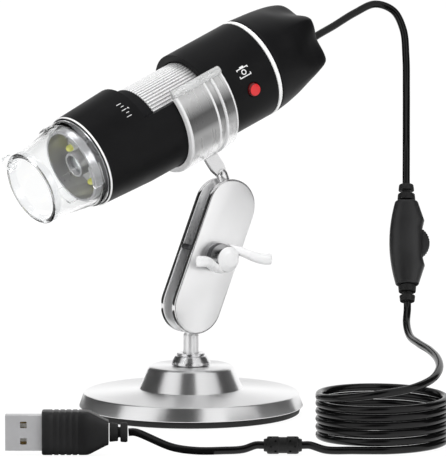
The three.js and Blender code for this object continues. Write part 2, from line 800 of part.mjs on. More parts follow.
// Reflector cup and the board of lamps behind it
const boardBack = ledLedgeStation - seatGap;
const boardFront = boardBack - boardThickness;
const cupProfile = [
  [cupMouthRadius, cupFrontStation],
  [cupMouthRadius + cupRimWidth, cupFrontStation],
  [cupRadius, boardFront - seatGap],
  [cupFloorRadius, boardFront - seatGap],
  [cupMouthRadius, cupFrontStation],
];
addPiece(scope, "reflector_cup", turned(cupProfile, middleSides), "greyPlastic");
const boardBore = lensBarrelRadius + boardBoreGap;
const ledBoard = tube(insideRadius, boardBore, boardFront, boardBack, middleSides);
addPiece(scope, "led_board", ledBoard, "whitePlastic");
for (let i = 0; i < ledCount; i++) {
  const angle = (2 * Math.PI * i) / ledCount;
  const ledBase = boardFront - seatGap;
  const ledTop = roundedCorner(0, ledBase - ledBody, ledRadius, -90, 0);
  ledTop[0][0] = 0;
  const led = turned([...ledTop, [ledRadius, ledBase], [0, ledBase]], ledSides);
  led.translate(ledCircle * Math.cos(angle), ledCircle * Math.sin(angle), 0);
  addPiece(scope, "led_" + (i + 1), led, "lampYellow");
}

// Clear nose cap: spigot, flange, cone and front ring, with a small pull tab
const capBore = capNeckRadius - capWall;
const capProfile = [
  [capBore, capFrontStation],
  [capRingRadius, capFrontStation],
  [capRingRadius, capRingStart],
  [capNeckRadius, capNeckStation],
  [capConeRadius, -capFlangeLength - capStepLength],
  [capFlangeRadius, -capFlangeLength],
  [capFlangeRadius, -seatGap],
  [insideRadius, -seatGap],
  [insideRadius, capSpigotDepth],
  [insideRadius - capSpigotWall, capSpigotDepth],
  [insideRadius - capSpigotWall, capWall - capFlangeLength],
  [capConeRadius - capWall, -capFlangeLength - capStepLength],
  [capBore, capNeckStation],
  [capBore, capFrontStation],
];
const tabDepth = capRingStart - capFrontStation;
const tabInner = capBore + capWall / 2;
const capTab = block(capTabReach - tabInner, capTabWidth, tabDepth, (capTabReach + tabInner) / 2, 0, 0);
capTab.rotateZ(rad(capTabAngle)).translate(0, 0, capFrontStation + tabDepth / 2);
addPiece(scope, "clear_cap", solid(turned(capProfile)).add(solid(capTab)), "clearPlastic");

// Electronics in the rear body
const sensorBoardFront = rearLedgeStation + ledgeThickness + seatGap;
const sensorBoardBack = sensorBoardFront + boardThickness;
addPiece(scope, "sensor_board", disc(insideRadius, sensorBoardFront, sensorBoardBack, middleSides), "green");
const sensorMiddle = sensorBoardFront - seatGap - sensorThickness / 2;
const imageSensor = block(sensorSize, sensorSize, sensorThickness, 0, 0, sensorMiddle);
addPiece(scope, "image_sensor", imageSensor, "blackGloss");
const mainBoardStart = sensorBoardBack + seatGap;
const mainBoardMiddle = mainBoardRadial + boardThickness / 2;
const mainBoard = block(boardThickness, mainBoardWidth, mainBoardLength, mainBoardMiddle);
mainBoard.rotateZ(rad(buttonAngle)).translate(0, 0, mainBoardStart + mainBoardLength / 2);
addPiece(scope, "main_board", mainBoard, "green");
const switchFoot = mainBoardRadial + boardThickness + seatGap;
const tactSwitch = block(switchHeight, switchSize, switchSize, switchFoot + switchHeight / 2);
tactSwitch.rotateZ(rad(buttonAngle)).translate(0, 0, buttonStation);
addPiece(scope, "tact_switch", tactSwitch, "greyPlastic");

// Shutter button, held in by a flange behind the barrel's wall
const flangeRadius = buttonRadius + buttonFlange;
const flangeTop = Math.sqrt(barrelBore ** 2 - flangeRadius ** 2) - seatGap;
const buttonTop = barrelRadius + buttonProud;
const buttonProfile = [
  [0, flangeTop - buttonFlangeThickness],
  [flangeRadius, flangeTop - buttonFlangeThickness],
  [flangeRadius, flangeTop],
  [buttonRadius, flangeTop],
  [buttonRadius, buttonTop - buttonCrown],
  [buttonRadius - buttonCrown, buttonTop - buttonCrown / 4],
  [0, buttonTop],
];
const button = radially(turned(buttonProfile, smallSides), buttonAngle, buttonStation);
addPiece(scope, "snap_button", button, "red");

// White light ring between the barrel and the tail cap
const lightRingStart = barrelLength + seatGap;
const lightRingEnd = lightRingStart + lightRingLength;
const lightRing = tube(lightRingRadius, barrelBore, lightRingStart, lightRingEnd);
addPiece(scope, "light_ring", lightRing, "whitePlastic");

// Tail cap: five lobes that deepen towards the end, hollow, with a recess for the cord
const tailStart = lightRingEnd + seatGap;
const tailLength = tailEndStation - tailStart;
const tailRings = tailRadiusShares.map((radiusShare, i) =>
  ring(tailLobes * lobeSides, tailStart + tailLength * tailStationShares[i], (angle) => {
    const lobe = (1 - Math.cos(tailLobes * (angle - rad(tailLobeAngle)))) / 2;
    return barrelRadius * radiusShare * (1 - tailScallopShare * tailScallopShares[i] * lobe);
  }),
);
const recessFloor = tailEndStation - tailRecessDepth;
const hollowEnd = recessFloor - tailWall;
const hollowEndRadius = barrelRadius * tailRadiusShares[3] * (1 - tailScallopShare) - tailWall;
const tailHollow = turned([
  [0, tailStart - overrun],
  [insideRadius - tailSpigotWall, tailStart - overrun],
  [insideRadius - tailSpigotWall, tailStart + tailLength * tailStationShares[1]],
  [hollowEndRadius, hollowEnd],
  [0, hollowEnd],
]);
const cordX = cordOffset * Math.cos(rad(cordOffsetAngle));
const cordY = cordOffset * Math.sin(rad(cordOffsetAngle));
const glandHole = disc(glandRadius + seatGap, hollowEnd - overrun, recessFloor + overrun);
glandHole.translate(cordX, cordY, 0);
const spigotStart = tailStart - tailSpigotLength;
const tailSpigot = tube(insideRadius, insideRadius - tailSpigotWall, spigotStart, tailStart + tailWall);
const tailCap = solid(lofted(tailRings))
  .subtract(solid(tailHollow))
  .add(solid(tailSpigot))
  .subtract(solid(disc(tailRecessRadius, recessFloor, tailEndStation + overrun, middleSides)))
  .subtract(solid(glandHole));
addPiece(scope, "tail_cap", tailCap, "blackSatin");
const glandProfile = [
  [0, hollowEnd - seatGap - glandFlange],
  [glandRadius + glandFlange, hollowEnd - seatGap - glandFlange],
  [glandRadius + glandFlange, hollowEnd - seatGap],
  [glandRadius, hollowEnd - seatGap],
  [glandRadius, hollowEnd + glandLength - glandFlange],
  [glandRadius - glandFlange / 2, hollowEnd + glandLength],
  [0, hollowEnd + glandLength],
];
addPiece(scope, "cord_gland", turned(glandProfile, smallSides).translate(cordX, cordY, 0), "rubber");

// Inline control: two covers, a thumb dial between them and a strain relief at each end
heading.updateMatrixWorld(true);
const control = new THREE.Group();
control.position.set(...controlPlace);
control.rotation.x = rad(-controlSlant);
part.add(control);

const dialX = controlWidth / 2 + dialProud - dialRadius;
const controlRings = controlStationShares.map((share) => {
  const crown = 1 - share ** 2;
  const halfWidth = (controlEndWidth + (controlWidth - controlEndWidth) * crown) / 2;
  const halfThickness = (controlEndThickness + (controlThickness - controlEndThickness) * crown) / 2;
  return ring(smallSides, (share * controlLength) / 2, (angle) => {
    const across = Math.abs(Math.cos(angle) / halfWidth) ** controlSquareness;
    const through = Math.abs(Math.sin(angle) / halfThickness) ** controlSquareness;
    return (across + through) ** (-1 / controlSquareness);
  });
});
const controlBody = solid(lofted(controlRings));
const alongY = (geometry, x, z) => geometry.rotateX(Math.PI / 2).translate(x, 0, z);
const dialReach = dialThickness / 2 + seatGap;
const dialRoom = disc(dialRadius + seatGap, -dialReach, dialReach, middleSides);
const axleReach = dialThickness / 2 + dialAxleReach + seatGap;
const axleRoom = disc(dialAxleRadius + runGap, -axleReach, axleReach);
const pegRoomStart = controlLength / 2 - reliefPegLength - seatGap;
let controlHollow = solid(alongY(dialRoom, dialX, 0)).add(solid(alongY(axleRoom, dialX, 0)));
for (const end of [1, -1]) {
  const pegRoom = disc(reliefPegRadius + seatGap, pegRoomStart, controlLength / 2 + overrun);
  controlHollow = controlHollow.add(solid(end > 0 ? pegRoom : pegRoom.rotateX(Math.PI)));
}
const coverHollow = controlBody.subtract(controlHollow);
function halfBlock(side) {
  const middle = (side * (controlThickness + seatGap)) / 2;
  return solid(block(2 * controlWidth, controlThickness, 2 * controlLength, 0, middle));
}
addPiece(control, "control_front", coverHollow.intersect(halfBlock(-1)), "blackSatin");
const screwRoomDepth = controlThickness / 2 - screwPostDepth;
const screwRoom = disc(screwPostRadius + seatGap, -controlThickness, -screwRoomDepth);
const backCover = coverHollow.intersect(halfBlock(1)).subtract(solid(alongY(screwRoom, 0, screwPostPlace)));
addPiece(control, "control_back", backCover, "blackSatin");
const controlScrew = disc(screwPostRadius, -controlThickness / 2 + seatGap, -screwRoomDepth - seatGap);
addPiece(control, "control_screw", alongY(controlScrew, 0, screwPostPlace), "steel");

const dialShape = new THREE.Shape();
for (let i = 0; i < 2 * dialNotches; i++) {
  const angle = (i * Math.PI) / dialNotches;
  const radius = dialRadius - (i % 2) * dialNotchDepth;
  const corner = [radius * Math.cos(angle), radius * Math.sin(angle)];
  if (i) dialShape.lineTo(...corner);
  else dialShape.moveTo(...corner);
}
dialShape.closePath();
const dialBody = solid(extruded(dialShape, dialThickness).translate(0, 0, -dialThickness / 2));
const dialAxle = disc(dialAxleRadius, -axleReach + seatGap, axleReach - seatGap);
const dial = dialBody.add(solid(dialAxle));
addPiece(control, "control_dial", alongY(surface(dial), dialX, 0), "blackGloss");

function reliefProfile(capRadius, tipRadius) {
  const foot = controlLength / 2 + seatGap;
  const neck = foot + reliefCapLength;
  const tip = neck + reliefNeckLength;
  return [
    [0, controlLength / 2 - reliefPegLength],
    [reliefPegRadius, controlLength / 2 - reliefPegLength],
    [reliefPegRadius, foot],
    [capRadius, foot],
    [capRadius * reliefCapTaperShare, neck],
    [reliefNeckRadius, neck],
    [reliefNeckRadius, tip],
    [tipRadius * (1 + reliefTipTaperShare), tip],
    [tipRadius * (1 - reliefTipTaperShare), tip + reliefTipLength],
    [0, tip + reliefTipLength],
  ];
}
const relief = turned(reliefProfile(reliefCapRadius, reliefTipRadius), smallSides);
addPiece(control, "control_relief_top", relief.clone(), "rubber");
addPiece(control, "control_relief_bottom", relief.clone().rotateX(Math.PI), "rubber");
control.updateMatrixWorld(true);

// Cord stretches: each starts and ends face to face with what it meets, straight for a diameter
const reliefEnd = controlLength / 2 + seatGap + reliefCapLength + reliefNeckLength + reliefTipLength;
const cordStart = hollowEnd + glandLength + seatGap;
const scopePoint = (station) => scope.localToWorld(new THREE.Vector3(cordX, cordY, station));
const controlPoint = (along) => control.localToWorld(new THREE.Vector3(0, 0, along));
const upperPoints = [
  scopePoint(cordStart),
  scopePoint(cordStart + cordDiameter),
  ...upperRoute.map(point),
  controlPoint(reliefEnd + seatGap + cordDiameter),
  controlPoint(reliefEnd + seatGap),
];
addPiece(part, "cord_upper", cordTube(upperPoints, upperCordSteps), "cordBlack");

const coilTop = cordDiameter / 2 + coilTurns * coilPitch;
const coilStart = new THREE.Vector3(coilCentre[0] - coilRadius, coilCentre[1], coilTop);
const coilEntry = coilStart.clone();
coilEntry.y -= cordDiameter + seatGap;
const middlePoints = [
  controlPoint(-reliefEnd - seatGap),
  controlPoint(-reliefEnd - seatGap - cordDiameter),
  ...middleRoute.map(point),
  new THREE.Vector3(coilEntry.x, coilEntry.y - cordDiameter, coilEntry.z),
  coilEntry,
];
addPiece(part, "cord_middle", cordTube(middlePoints, middleCordSteps), "cordBlack");

// Coil: one unbroken tube that winds down in a single column of turns
function coilPoints() {
  const points = [new THREE.Vector3(coilStart.x, coilStart.y - cordDiameter, coilStart.z)];
  const steps = coilTurns * coilSteps;
  for (let i = 0; i <= steps; i++) {
    const angle = Math.PI - (2 * Math.PI * i) / coilSteps;
    const height = coilTop - (coilPitch * i) / coilSteps;
    points.push(
      new THREE.Vector3(
        coilCentre[0] + coilRadius * Math.cos(angle),
        coilCentre[1] + coilRadius * Math.sin(angle),
        height,
      ),
    );
  }
  const last = points[points.length - 1];
  points.push(new THREE.Vector3(last.x - cordDiameter, last.y, last.z));
  return points;
}

function windingTube(points, radius, sides) {
  const up = new THREE.Vector3(0, 0, 1);
  const corners = [];
  points.forEach((place, i) => {
    const before = points[Math.max(i - 1, 0)];
    const after = points[Math.min(i + 1, points.length - 1)];
    const along = after.clone().sub(before).normalize();
    const side = along.clone().cross(up).normalize();
    const rise = side.clone().cross(along);
    for (let j = 0; j < sides; j++) {
      const angle = (2 * Math.PI * (j + 1 / 2)) / sides;
      const corner = place.clone().addScaledVector(side, radius * Math.cos(angle));
      corners.push(...corner.addScaledVector(rise, radius * Math.sin(angle)).toArray());
    }
  });
  const faces = [];
  for (let i = 0; i < points.length - 1; i++) {
    for (let j = 0; j < sides; j++) {
      const next = (j + 1) % sides;
      const [low, high] = [i * sides, (i + 1) * sides];
      faces.push(low + j, high + next, low + next, low + j, high + j, high + next);
    }
  }
  const last = (points.length - 1) * sides;
  for (let j = 1; j < sides - 1; j++) {
    faces.push(0, j, j + 1);
    faces.push(last, last + j + 1, last + j);
  }
  const geometry = new THREE.BufferGeometry();
  geometry.setAttribute("position", new THREE.Float32BufferAttribute(corners, 3));
  geometry.setIndex(faces);
  return geometry;
}

// Least gap of the winding to itself, between points at least half a turn apart
function leastGap(points) {
  let least = Infinity;
  points.forEach((a, i) =>
    points.slice(i + coilSteps / 2).forEach((b) => {
      least = Math.min(least, a.distanceTo(b) - cordDiameter);
    }),
  );
  return least;
}
const winding = coilPoints();
console.log("least gap of the coil to itself: " + leastGap(winding).toFixed(2) + " mm");
addPiece(part, "cord_coil", windingTube(winding, cordDiameter / 2, coilSides), "cordBlack");

// Run along the surface: coil to ferrite core, then to the plug
const windingEnd = winding[winding.length - 1];
const ferriteFace = ferriteLength / 2 + seatGap;
const runPoints = [
  new THREE.Vector3(windingEnd.x - seatGap, windingEnd.y, windingEnd.z),
  new THREE.Vector3(windingEnd.x - seatGap - cordDiameter, windingEnd.y, windingEnd.z),
  ...runRoute.map(point),
  new THREE.Vector3(ferritePlace[0] + ferriteFace + cordDiameter, ferritePlace[1], ferriteRadius),
  new THREE.Vector3(ferritePlace[0] + ferriteFace, ferritePlace[1], ferriteRadius),
];
addPiece(part, "cord_run_a", cordTube(runPoints, shortCordSteps), "cordBlack");

const ferriteRound = [ferriteRadius - ferriteEdge, ferriteLength / 2 - ferriteEdge, ferriteEdge];
const ferriteEnd = roundedCorner(...ferriteRound, 0, quarterTurn);
const ferriteProfile = [
  [0, -ferriteLength / 2],
  ...ferriteEnd.map(([radius, height]) => [radius, -height]).reverse(),
  ...ferriteEnd,
  [0, ferriteLength / 2],
];
const ferrite = turned(ferriteProfile, smallSides).rotateY(Math.PI / 2);
addPiece(part, "ferrite_core", ferrite.translate(...ferritePlace, ferriteRadius), "blackSatin");

// Plug: moulded grip with a stepped relief, a metal shell with two square holes, and its tongue
const plug = new THREE.Group();
plug.position.set(...plugPlace, plugWidth / 2);
plug.rotation.y = -Math.PI / 2;
part.add(plug);
plug.updateMatrixWorld(true);
const plugPoint = (along) => plug.localToWorld(new THREE.Vector3(0, 0, along));
const plugPoints = [
  new THREE.Vector3(ferritePlace[0] - ferriteFace, ferritePlace[1], ferriteRadius),
  new THREE.Vector3(ferritePlace[0] - ferriteFace - cordDiameter, ferritePlace[1], ferriteRadius),
  ...ferriteRoute.map(point),
  plugPoint(-seatGap - cordDiameter),
  plugPoint(-seatGap),
];
addPiece(part, "cord_run_b", cordTube(plugPoints, plugCordSteps), "cordBlack");

const reliefStep = plugReliefLength / plugReliefSteps;
const plugReliefProfile = [
  [0, 0],
  [plugReliefRadius, 0],
  [plugReliefRadius, 3 * reliefStep],
  [plugReliefRadius / 2, 3 * reliefStep],
  [plugReliefRadius / 2, 4 * reliefStep],
  [plugReliefRadius * plugReliefTaperShare, 4 * reliefStep],
  [plugReliefRadius, plugReliefLength - seatGap],
  [0, plugReliefLength - seatGap],
];
addPiece(plug, "plug_relief", turned(plugReliefProfile, smallSides), "rubber");

const gripStart = plugReliefLength;
const gripEnd = gripStart + plugLength;
const gripShape = new THREE.Shape();
gripShape.moveTo(-plugTailWidth / 2, gripStart);
gripShape.lineTo(plugTailWidth / 2, gripStart);
gripShape.lineTo(plugWidth / 2, gripStart + plugTaperLength);
gripShape.lineTo(plugWidth / 2, gripEnd);
gripShape.lineTo(-plugWidth / 2, gripEnd);
gripShape.lineTo(-plugWidth / 2, gripStart + plugTaperLength);
gripShape.closePath();
const grip = extruded(gripShape, plugThickness, plugBevel);
grip.translate(0, 0, -plugThickness / 2).rotateX(Math.PI / 2);
const pocketWidth = plugShellWidth + 2 * seatGap;
const pocketHeight = plugShellHeight + 2 * seatGap;
const pocketLength = plugPocketDepth + seatGap + overrun;
const pocket = block(pocketWidth, pocketHeight, pocketLength, 0, 0, gripEnd + overrun - pocketLength / 2);
addPiece(plug, "plug_grip", solid(grip).subtract(solid(pocket)), "blackSatin");

const shellStart = gripEnd - plugPocketDepth;
const shellEnd = gripEnd + plugShellReach;
const shellLength = shellEnd - shellStart;
const shellMiddle = (shellStart + shellEnd) / 2;
const tongueStart = shellStart + seatGap + plugShellWall;
const tongueEnd = shellEnd - plugTongueInset;
let plugShell = solid(block(plugShellWidth, plugShellHeight, shellLength, 0, 0, shellMiddle)).subtract(
  solid(
    block(
      plugShellWidth - 2 * plugShellWall,
      plugShellHeight - 2 * plugShellWall,
      shellLength,
      0,
      0,
      shellMiddle + plugShellWall,
    ),
  ),
);
for (const side of [-1, 1]) {
  const holeX = (side * plugHoleSpacing) / 2;
  const hole = block(plugHoleSize, 2 * plugShellHeight, plugHoleSize, holeX, 0, shellEnd - plugHoleInset);
  plugShell = plugShell.subtract(solid(hole));
}
addPiece(plug, "plug_shell", plugShell, "steel");
const tongueRoom = plugShellHeight / 2 - plugShellWall - seatGap;
const tongueWidth = plugShellWidth - 2 * plugShellWall - 2 * seatGap;
const tongueLength = tongueEnd - tongueStart;
const plugTongue = block(
  tongueWidth,
  plugTongueThickness,
  tongueLength,
  0,
  tongueRoom - plugTongueThickness / 2,
  (tongueStart + tongueEnd) / 2,
);
addPiece(plug, "plug_tongue", plugTongue, "whitePlastic");

export default part;
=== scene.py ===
import math

import bmesh
import bpy
from mathutils import Matrix, Vector


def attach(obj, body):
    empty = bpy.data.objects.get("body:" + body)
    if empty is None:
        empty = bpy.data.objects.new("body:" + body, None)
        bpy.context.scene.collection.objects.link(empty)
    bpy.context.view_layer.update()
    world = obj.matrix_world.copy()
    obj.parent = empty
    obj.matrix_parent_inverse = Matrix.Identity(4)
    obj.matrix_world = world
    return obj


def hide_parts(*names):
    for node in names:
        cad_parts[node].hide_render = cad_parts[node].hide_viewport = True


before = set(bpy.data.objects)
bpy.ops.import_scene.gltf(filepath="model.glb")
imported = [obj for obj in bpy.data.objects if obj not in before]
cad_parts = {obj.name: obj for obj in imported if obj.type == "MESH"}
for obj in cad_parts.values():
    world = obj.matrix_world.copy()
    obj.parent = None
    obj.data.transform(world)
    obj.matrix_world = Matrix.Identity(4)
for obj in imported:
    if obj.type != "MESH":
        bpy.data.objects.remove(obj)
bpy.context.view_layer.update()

scene = bpy.context.scene
scene.view_settings.view_transform = "Standard"
mm = 0.001

# camera: a long lens, level with the barrel, from the front
view = {
    "target": (0.0112, 0.0, 0.065),
    "distance": 2.4,
    "elevation": 7.3,
    "lens": 540.7,
    "sensor": 36,
}


def setAll(thing, **settings):
    for key, value in settings.items():
        setattr(thing, key, value)
    return thing


def setCamera():
    up = math.radians(view["elevation"])
    data = bpy.data.cameras.new("photoCamera")
    setAll(data, lens=view["lens"], sensor_width=view["sensor"], clip_start=0.1, clip_end=20)
    camera = bpy.data.objects.new("photoCamera", data)
    scene.collection.objects.link(camera)
    camera.location = Vector(view["target"]) + view["distance"] * Vector((0, -math.cos(up), math.sin(up)))
    camera.rotation_euler = (math.pi / 2 - up, 0, 0)
    scene.camera = camera


setCamera()
print("camera set")


# frames of the object, all sizes below in millimetres
stand = {
    "heading": 35.3,  # the arm and barrel point this way round Z
    "armLean": 23.4,
    "lowerBall": 38.2,
    "upperBallAlong": 40.8,
    "screwAlong": 18.25,
    "barrelTilt": 21.5,
    "strapLean": 29,
    "neck": 8,
    "strap": 28.3,
    "clipStation": 44.7,
    "control": (75.75, 10.1, 58.5),
    "controlLean": -26,
    "plug": (-21, -92, 7.5),
}


def turnX(degrees):
    return Matrix.Rotation(math.radians(degrees), 4, "X")


def turnY(degrees):
    return Matrix.Rotation(math.radians(degrees), 4, "Y")


def turnZ(degrees):
    return Matrix.Rotation(math.radians(degrees), 4, "Z")


def shift(x, y, z):
    return Matrix.Translation((x * mm, y * mm, z * mm))


def polar(radius, angle, *height):
    return (radius * math.cos(angle), radius * math.sin(angle), *height)


def fullTurn(sides):
    return [2 * math.pi * k / sides for k in range(sides)]


headingFrame = turnZ(stand["heading"])
armFrame = headingFrame @ shift(0, 0, stand["lowerBall"]) @ turnY(stand["armLean"])


def barrelFrame():
    tilt, lean, strapLean = (math.radians(stand[key]) for key in ("barrelTilt", "armLean", "strapLean"))
    along = Vector((math.cos(tilt), 0, math.sin(tilt)))
    down = Vector((math.sin(tilt), 0, -math.cos(tilt)))
    strap = down * math.cos(strapLean) + Vector((0, -1, 0)) * math.sin(strapLean)
    ball = Vector((math.sin(lean), 0, math.cos(lean))) * stand["upperBallAlong"]
    ball.z += stand["lowerBall"]
    start = ball - down * stand["neck"] - strap * stand["strap"] - along * stand["clipStation"]
    axes = Matrix((strap.cross(along), strap, along)).transposed().to_4x4()
    return headingFrame @ Matrix.Translation(start * mm) @ axes


scopeFrame = barrelFrame()
controlFrame = shift(*stand["control"]) @ turnX(stand["controlLean"])
plugFrame = shift(*stand["plug"]) @ turnY(-90)
nutFrame = armFrame @ shift(0, 0, stand["screwAlong"]) @ turnY(-stand["armLean"])


# material nodes
def setInputs(node, numbered=(), **values):
    # what another node puts out is linked, and anything else is set as a fixed value
    for key, value in [*enumerate(numbered), *values.items()]:
        socket = node.inputs[key if isinstance(key, int) else key.replace("_", " ")]
        if isinstance(value, bpy.types.NodeSocket):
            node.id_data.links.new(value, socket)
        else:
            socket.default_value = value
    return node


def addNode(tree, kind, settings=None, numbered=(), **values):
    node = setAll(tree.nodes.new("ShaderNode" + kind), **(settings or {}))
    return setInputs(node, numbered, **values)


def newMaterial(name, **values):
    material = bpy.data.materials.new(name)
    material.use_nodes = True
    tree = material.node_tree
    return material, tree, setInputs(tree.nodes["Principled BSDF"], **values)


def rgba(colour):
    # a colour is (red, green, blue), or (grey, blue) for a grey with its own blue
    return (colour[0], *colour[-2:], 1)


def objectPlace(tree):
    return addNode(tree, "TexCoord").outputs["Object"]


def split(tree, source):
    return addNode(tree, "SeparateXYZ", Vector=source).outputs


def stretched(tree, stretch=(1, 1, 1)):
    return addNode(tree, "Mapping", Vector=objectPlace(tree), Scale=stretch).outputs["Vector"]


def noise(tree, place, scale, detail):
    return addNode(tree, "TexNoise", Vector=place, Scale=float(scale), Detail=float(detail)).outputs["Fac"]


def spread(tree, source, low, high, fromLow=0.3, fromHigh=0.7):
    node = addNode(
        tree, "MapRange", Value=source, From_Min=fromLow, From_Max=fromHigh, To_Min=low, To_Max=high
    )
    return node.outputs["Result"]


def graded(tree, source, stops):
    # a ramp of colours, from (position, colour) stops
    node = addNode(tree, "ValToRGB", Fac=source)
    elements = node.color_ramp.elements
    for k in range(len(stops) - len(elements)):
        elements.new(0.2 * (k + 1))
    for element, (position, colour) in zip(elements, stops):
        element.position = position
        element.color = rgba(colour)
    return node.outputs["Color"]


def twoColours(tree, source, dark, light, low=0.35, high=0.65):
    return graded(tree, source, ((low, dark), (high, light)))


def bumped(tree, source, strength, distance=0.00001):
    return addNode(tree, "Bump", Height=source, Strength=strength, Distance=distance).outputs["Normal"]


def mouldedPlastic(name, dark, light, roughness, grain=2600, bump=0.12, specular=0.5, **values):
    # moulded plastic or rubber: a fine grain and broad, faint changes of gloss
    material, tree, shader = newMaterial(name, Specular_IOR_Level=specular, **values)
    place = stretched(tree)
    broad = noise(tree, place, 90, 4)
    setInputs(
        shader, Base_Color=twoColours(tree, broad, dark, light), Roughness=spread(tree, broad, *roughness),
        Normal=bumped(tree, noise(tree, place, grain, 2), bump, 0.00002),
    )
    return material


def spunSteel(name, dark, light, roughness, rings=9000):
    # steel turned on a lathe: fine rings round local Z, and a highlight drawn out across them
    material, tree, shader = newMaterial(name, Metallic=1.0, Anisotropic=0.9, Anisotropic_Rotation=0.25)
    place = objectPlace(tree)
    flat = addNode(tree, "VectorMath", {"operation": "MULTIPLY"}, (place, (1, 1, 0))).outputs["Vector"]
    reach = addNode(tree, "VectorMath", {"operation": "LENGTH"}, (flat,)).outputs["Value"]
    total = addNode(tree, "Math", {"operation": "ADD"}, (reach, split(tree, place)["Z"])).outputs["Value"]
    lines = addNode(tree, "TexNoise", {"noise_dimensions": "1D"}, W=total, Scale=float(rings), Detail=3.0)
    lines = lines.outputs["Fac"]
    around = addNode(tree, "Tangent", {"direction_type": "RADIAL", "axis": "Z"}).outputs["Tangent"]
    setInputs(
        shader, Base_Color=twoColours(tree, lines, dark, light), Tangent=around,
        Roughness=spread(tree, noise(tree, place, 45, 3), *roughness), Normal=bumped(tree, lines, 0.06),
    )
    return material


def brightPlate(name, dark, light, roughness, stretch=(1, 1, 1), lines=700, bump=0.06, metallic=1.0):
    # polished or brushed plating: hairline polishing marks and faint clouding
    material, tree, shader = newMaterial(name, Metallic=metallic)
    marks = noise(tree, stretched(tree, stretch), lines, 5)
    broad = noise(tree, stretched(tree), 60, 3)
    setInputs(
        shader, Base_Color=twoColours(tree, broad, dark, light), Roughness=spread(tree, marks, *roughness),
        Normal=bumped(tree, marks, bump),
    )
    return material


def clearPlastic(name, tint, ior, roughness, clear=1.0, **values):
    # clear moulding: a faint waviness and haze in patches
    material, tree, shader = newMaterial(
        name, Base_Color=rgba(tint), IOR=ior, Transmission_Weight=clear, **values
    )
    place = stretched(tree)
    haze = noise(tree, place, 260, 5)
    wave = noise(tree, place, 120, 2)
    setInputs(shader, Roughness=spread(tree, haze, *roughness), Normal=bumped(tree, wave, 0.15, 0.0001))
    return material


def clipBandSteel(name):
    # steel brushed round the barrel, with painted shade in a dark band partway down towards the arm and a
    # painted sheen near the strap
    material, tree, shader = newMaterial(name, Metallic=0.6)
    # how far down the band, from its upper lip to the strap, and its painted grey there: dark for painted
    # shade, white for a painted sheen
    paintedShadeAndSheenGreys = ((0.0, 0.6), (0.5, 0.54), (0.67, 0.08), (0.77, 0.14), (0.93, 1.0))
    level = spread(tree, split(tree, objectPlace(tree))["Y"], 0.0, 1.0, -0.0165, 0.0215)
    lines = noise(tree, stretched(tree, (0.1, 0.1, 1)), 700, 4)
    setInputs(
        shader, Base_Color=graded(tree, level, [(position, (grey, grey)) for position, grey in paintedShadeAndSheenGreys]),
        Roughness=spread(tree, lines, 0.26, 0.31), Normal=bumped(tree, lines, 0.02),
    )
    return material


def ribbedSilver(name):
    # bright rib tops, with painted shade darkening the grooves
    material, tree, shader = newMaterial(name, Metallic=0.5)
    paintedGrooveShade = addNode(tree, "AmbientOcclusion", {"samples": 8}, Distance=0.001).outputs["AO"]
    setInputs(
        # occlusion picks out the grooves, which get painted shade
        shader, Base_Color=twoColours(tree, paintedGrooveShade, (0.07, 0.075), (0.96, 0.965), 0.42, 0.74),
        Roughness=spread(tree, noise(tree, stretched(tree), 1800, 2), 0.26, 0.34),
    )
    return material


def pressedRed(name):
    # the cap of the shutter button is bright red, and its side below it carries painted shade in dark red
    material, tree, shader = newMaterial(name, Coat_Weight=0.2)
    sideEnd, fade = 19.05, 0.12
    step = spread(tree, split(tree, objectPlace(tree))["Z"], 0.0, 1.0, (sideEnd - fade) * mm, sideEnd * mm)
    setInputs(
        # the dark red below the cap's edge is painted shade
        shader, Base_Color=twoColours(tree, step, (0.1, 0.002, 0.003), (0.66, 0.01, 0.014), 0.0, 1.0),
        Roughness=spread(tree, noise(tree, stretched(tree), 1400, 2), 0.3, 0.4),
    )
    return material


def solderMask(name):
    # solder mask with paler tracks under it
    material, tree, shader = newMaterial(name, Coat_Weight=0.4)
    tracks = addNode(
        tree, "TexBrick", Vector=stretched(tree, (700, 700, 700)), Scale=1.0, Mortar_Size=0.05,
        Color1=(0.012, 0.11, 0.04, 1), Color2=(0.016, 0.14, 0.05, 1), Mortar=(0.05, 0.3, 0.12, 1),
    )
    soft = noise(tree, stretched(tree), 400, 2)
    setInputs(shader, Base_Color=tracks.outputs["Color"], Roughness=spread(tree, soft, 0.35, 0.5))
    return material


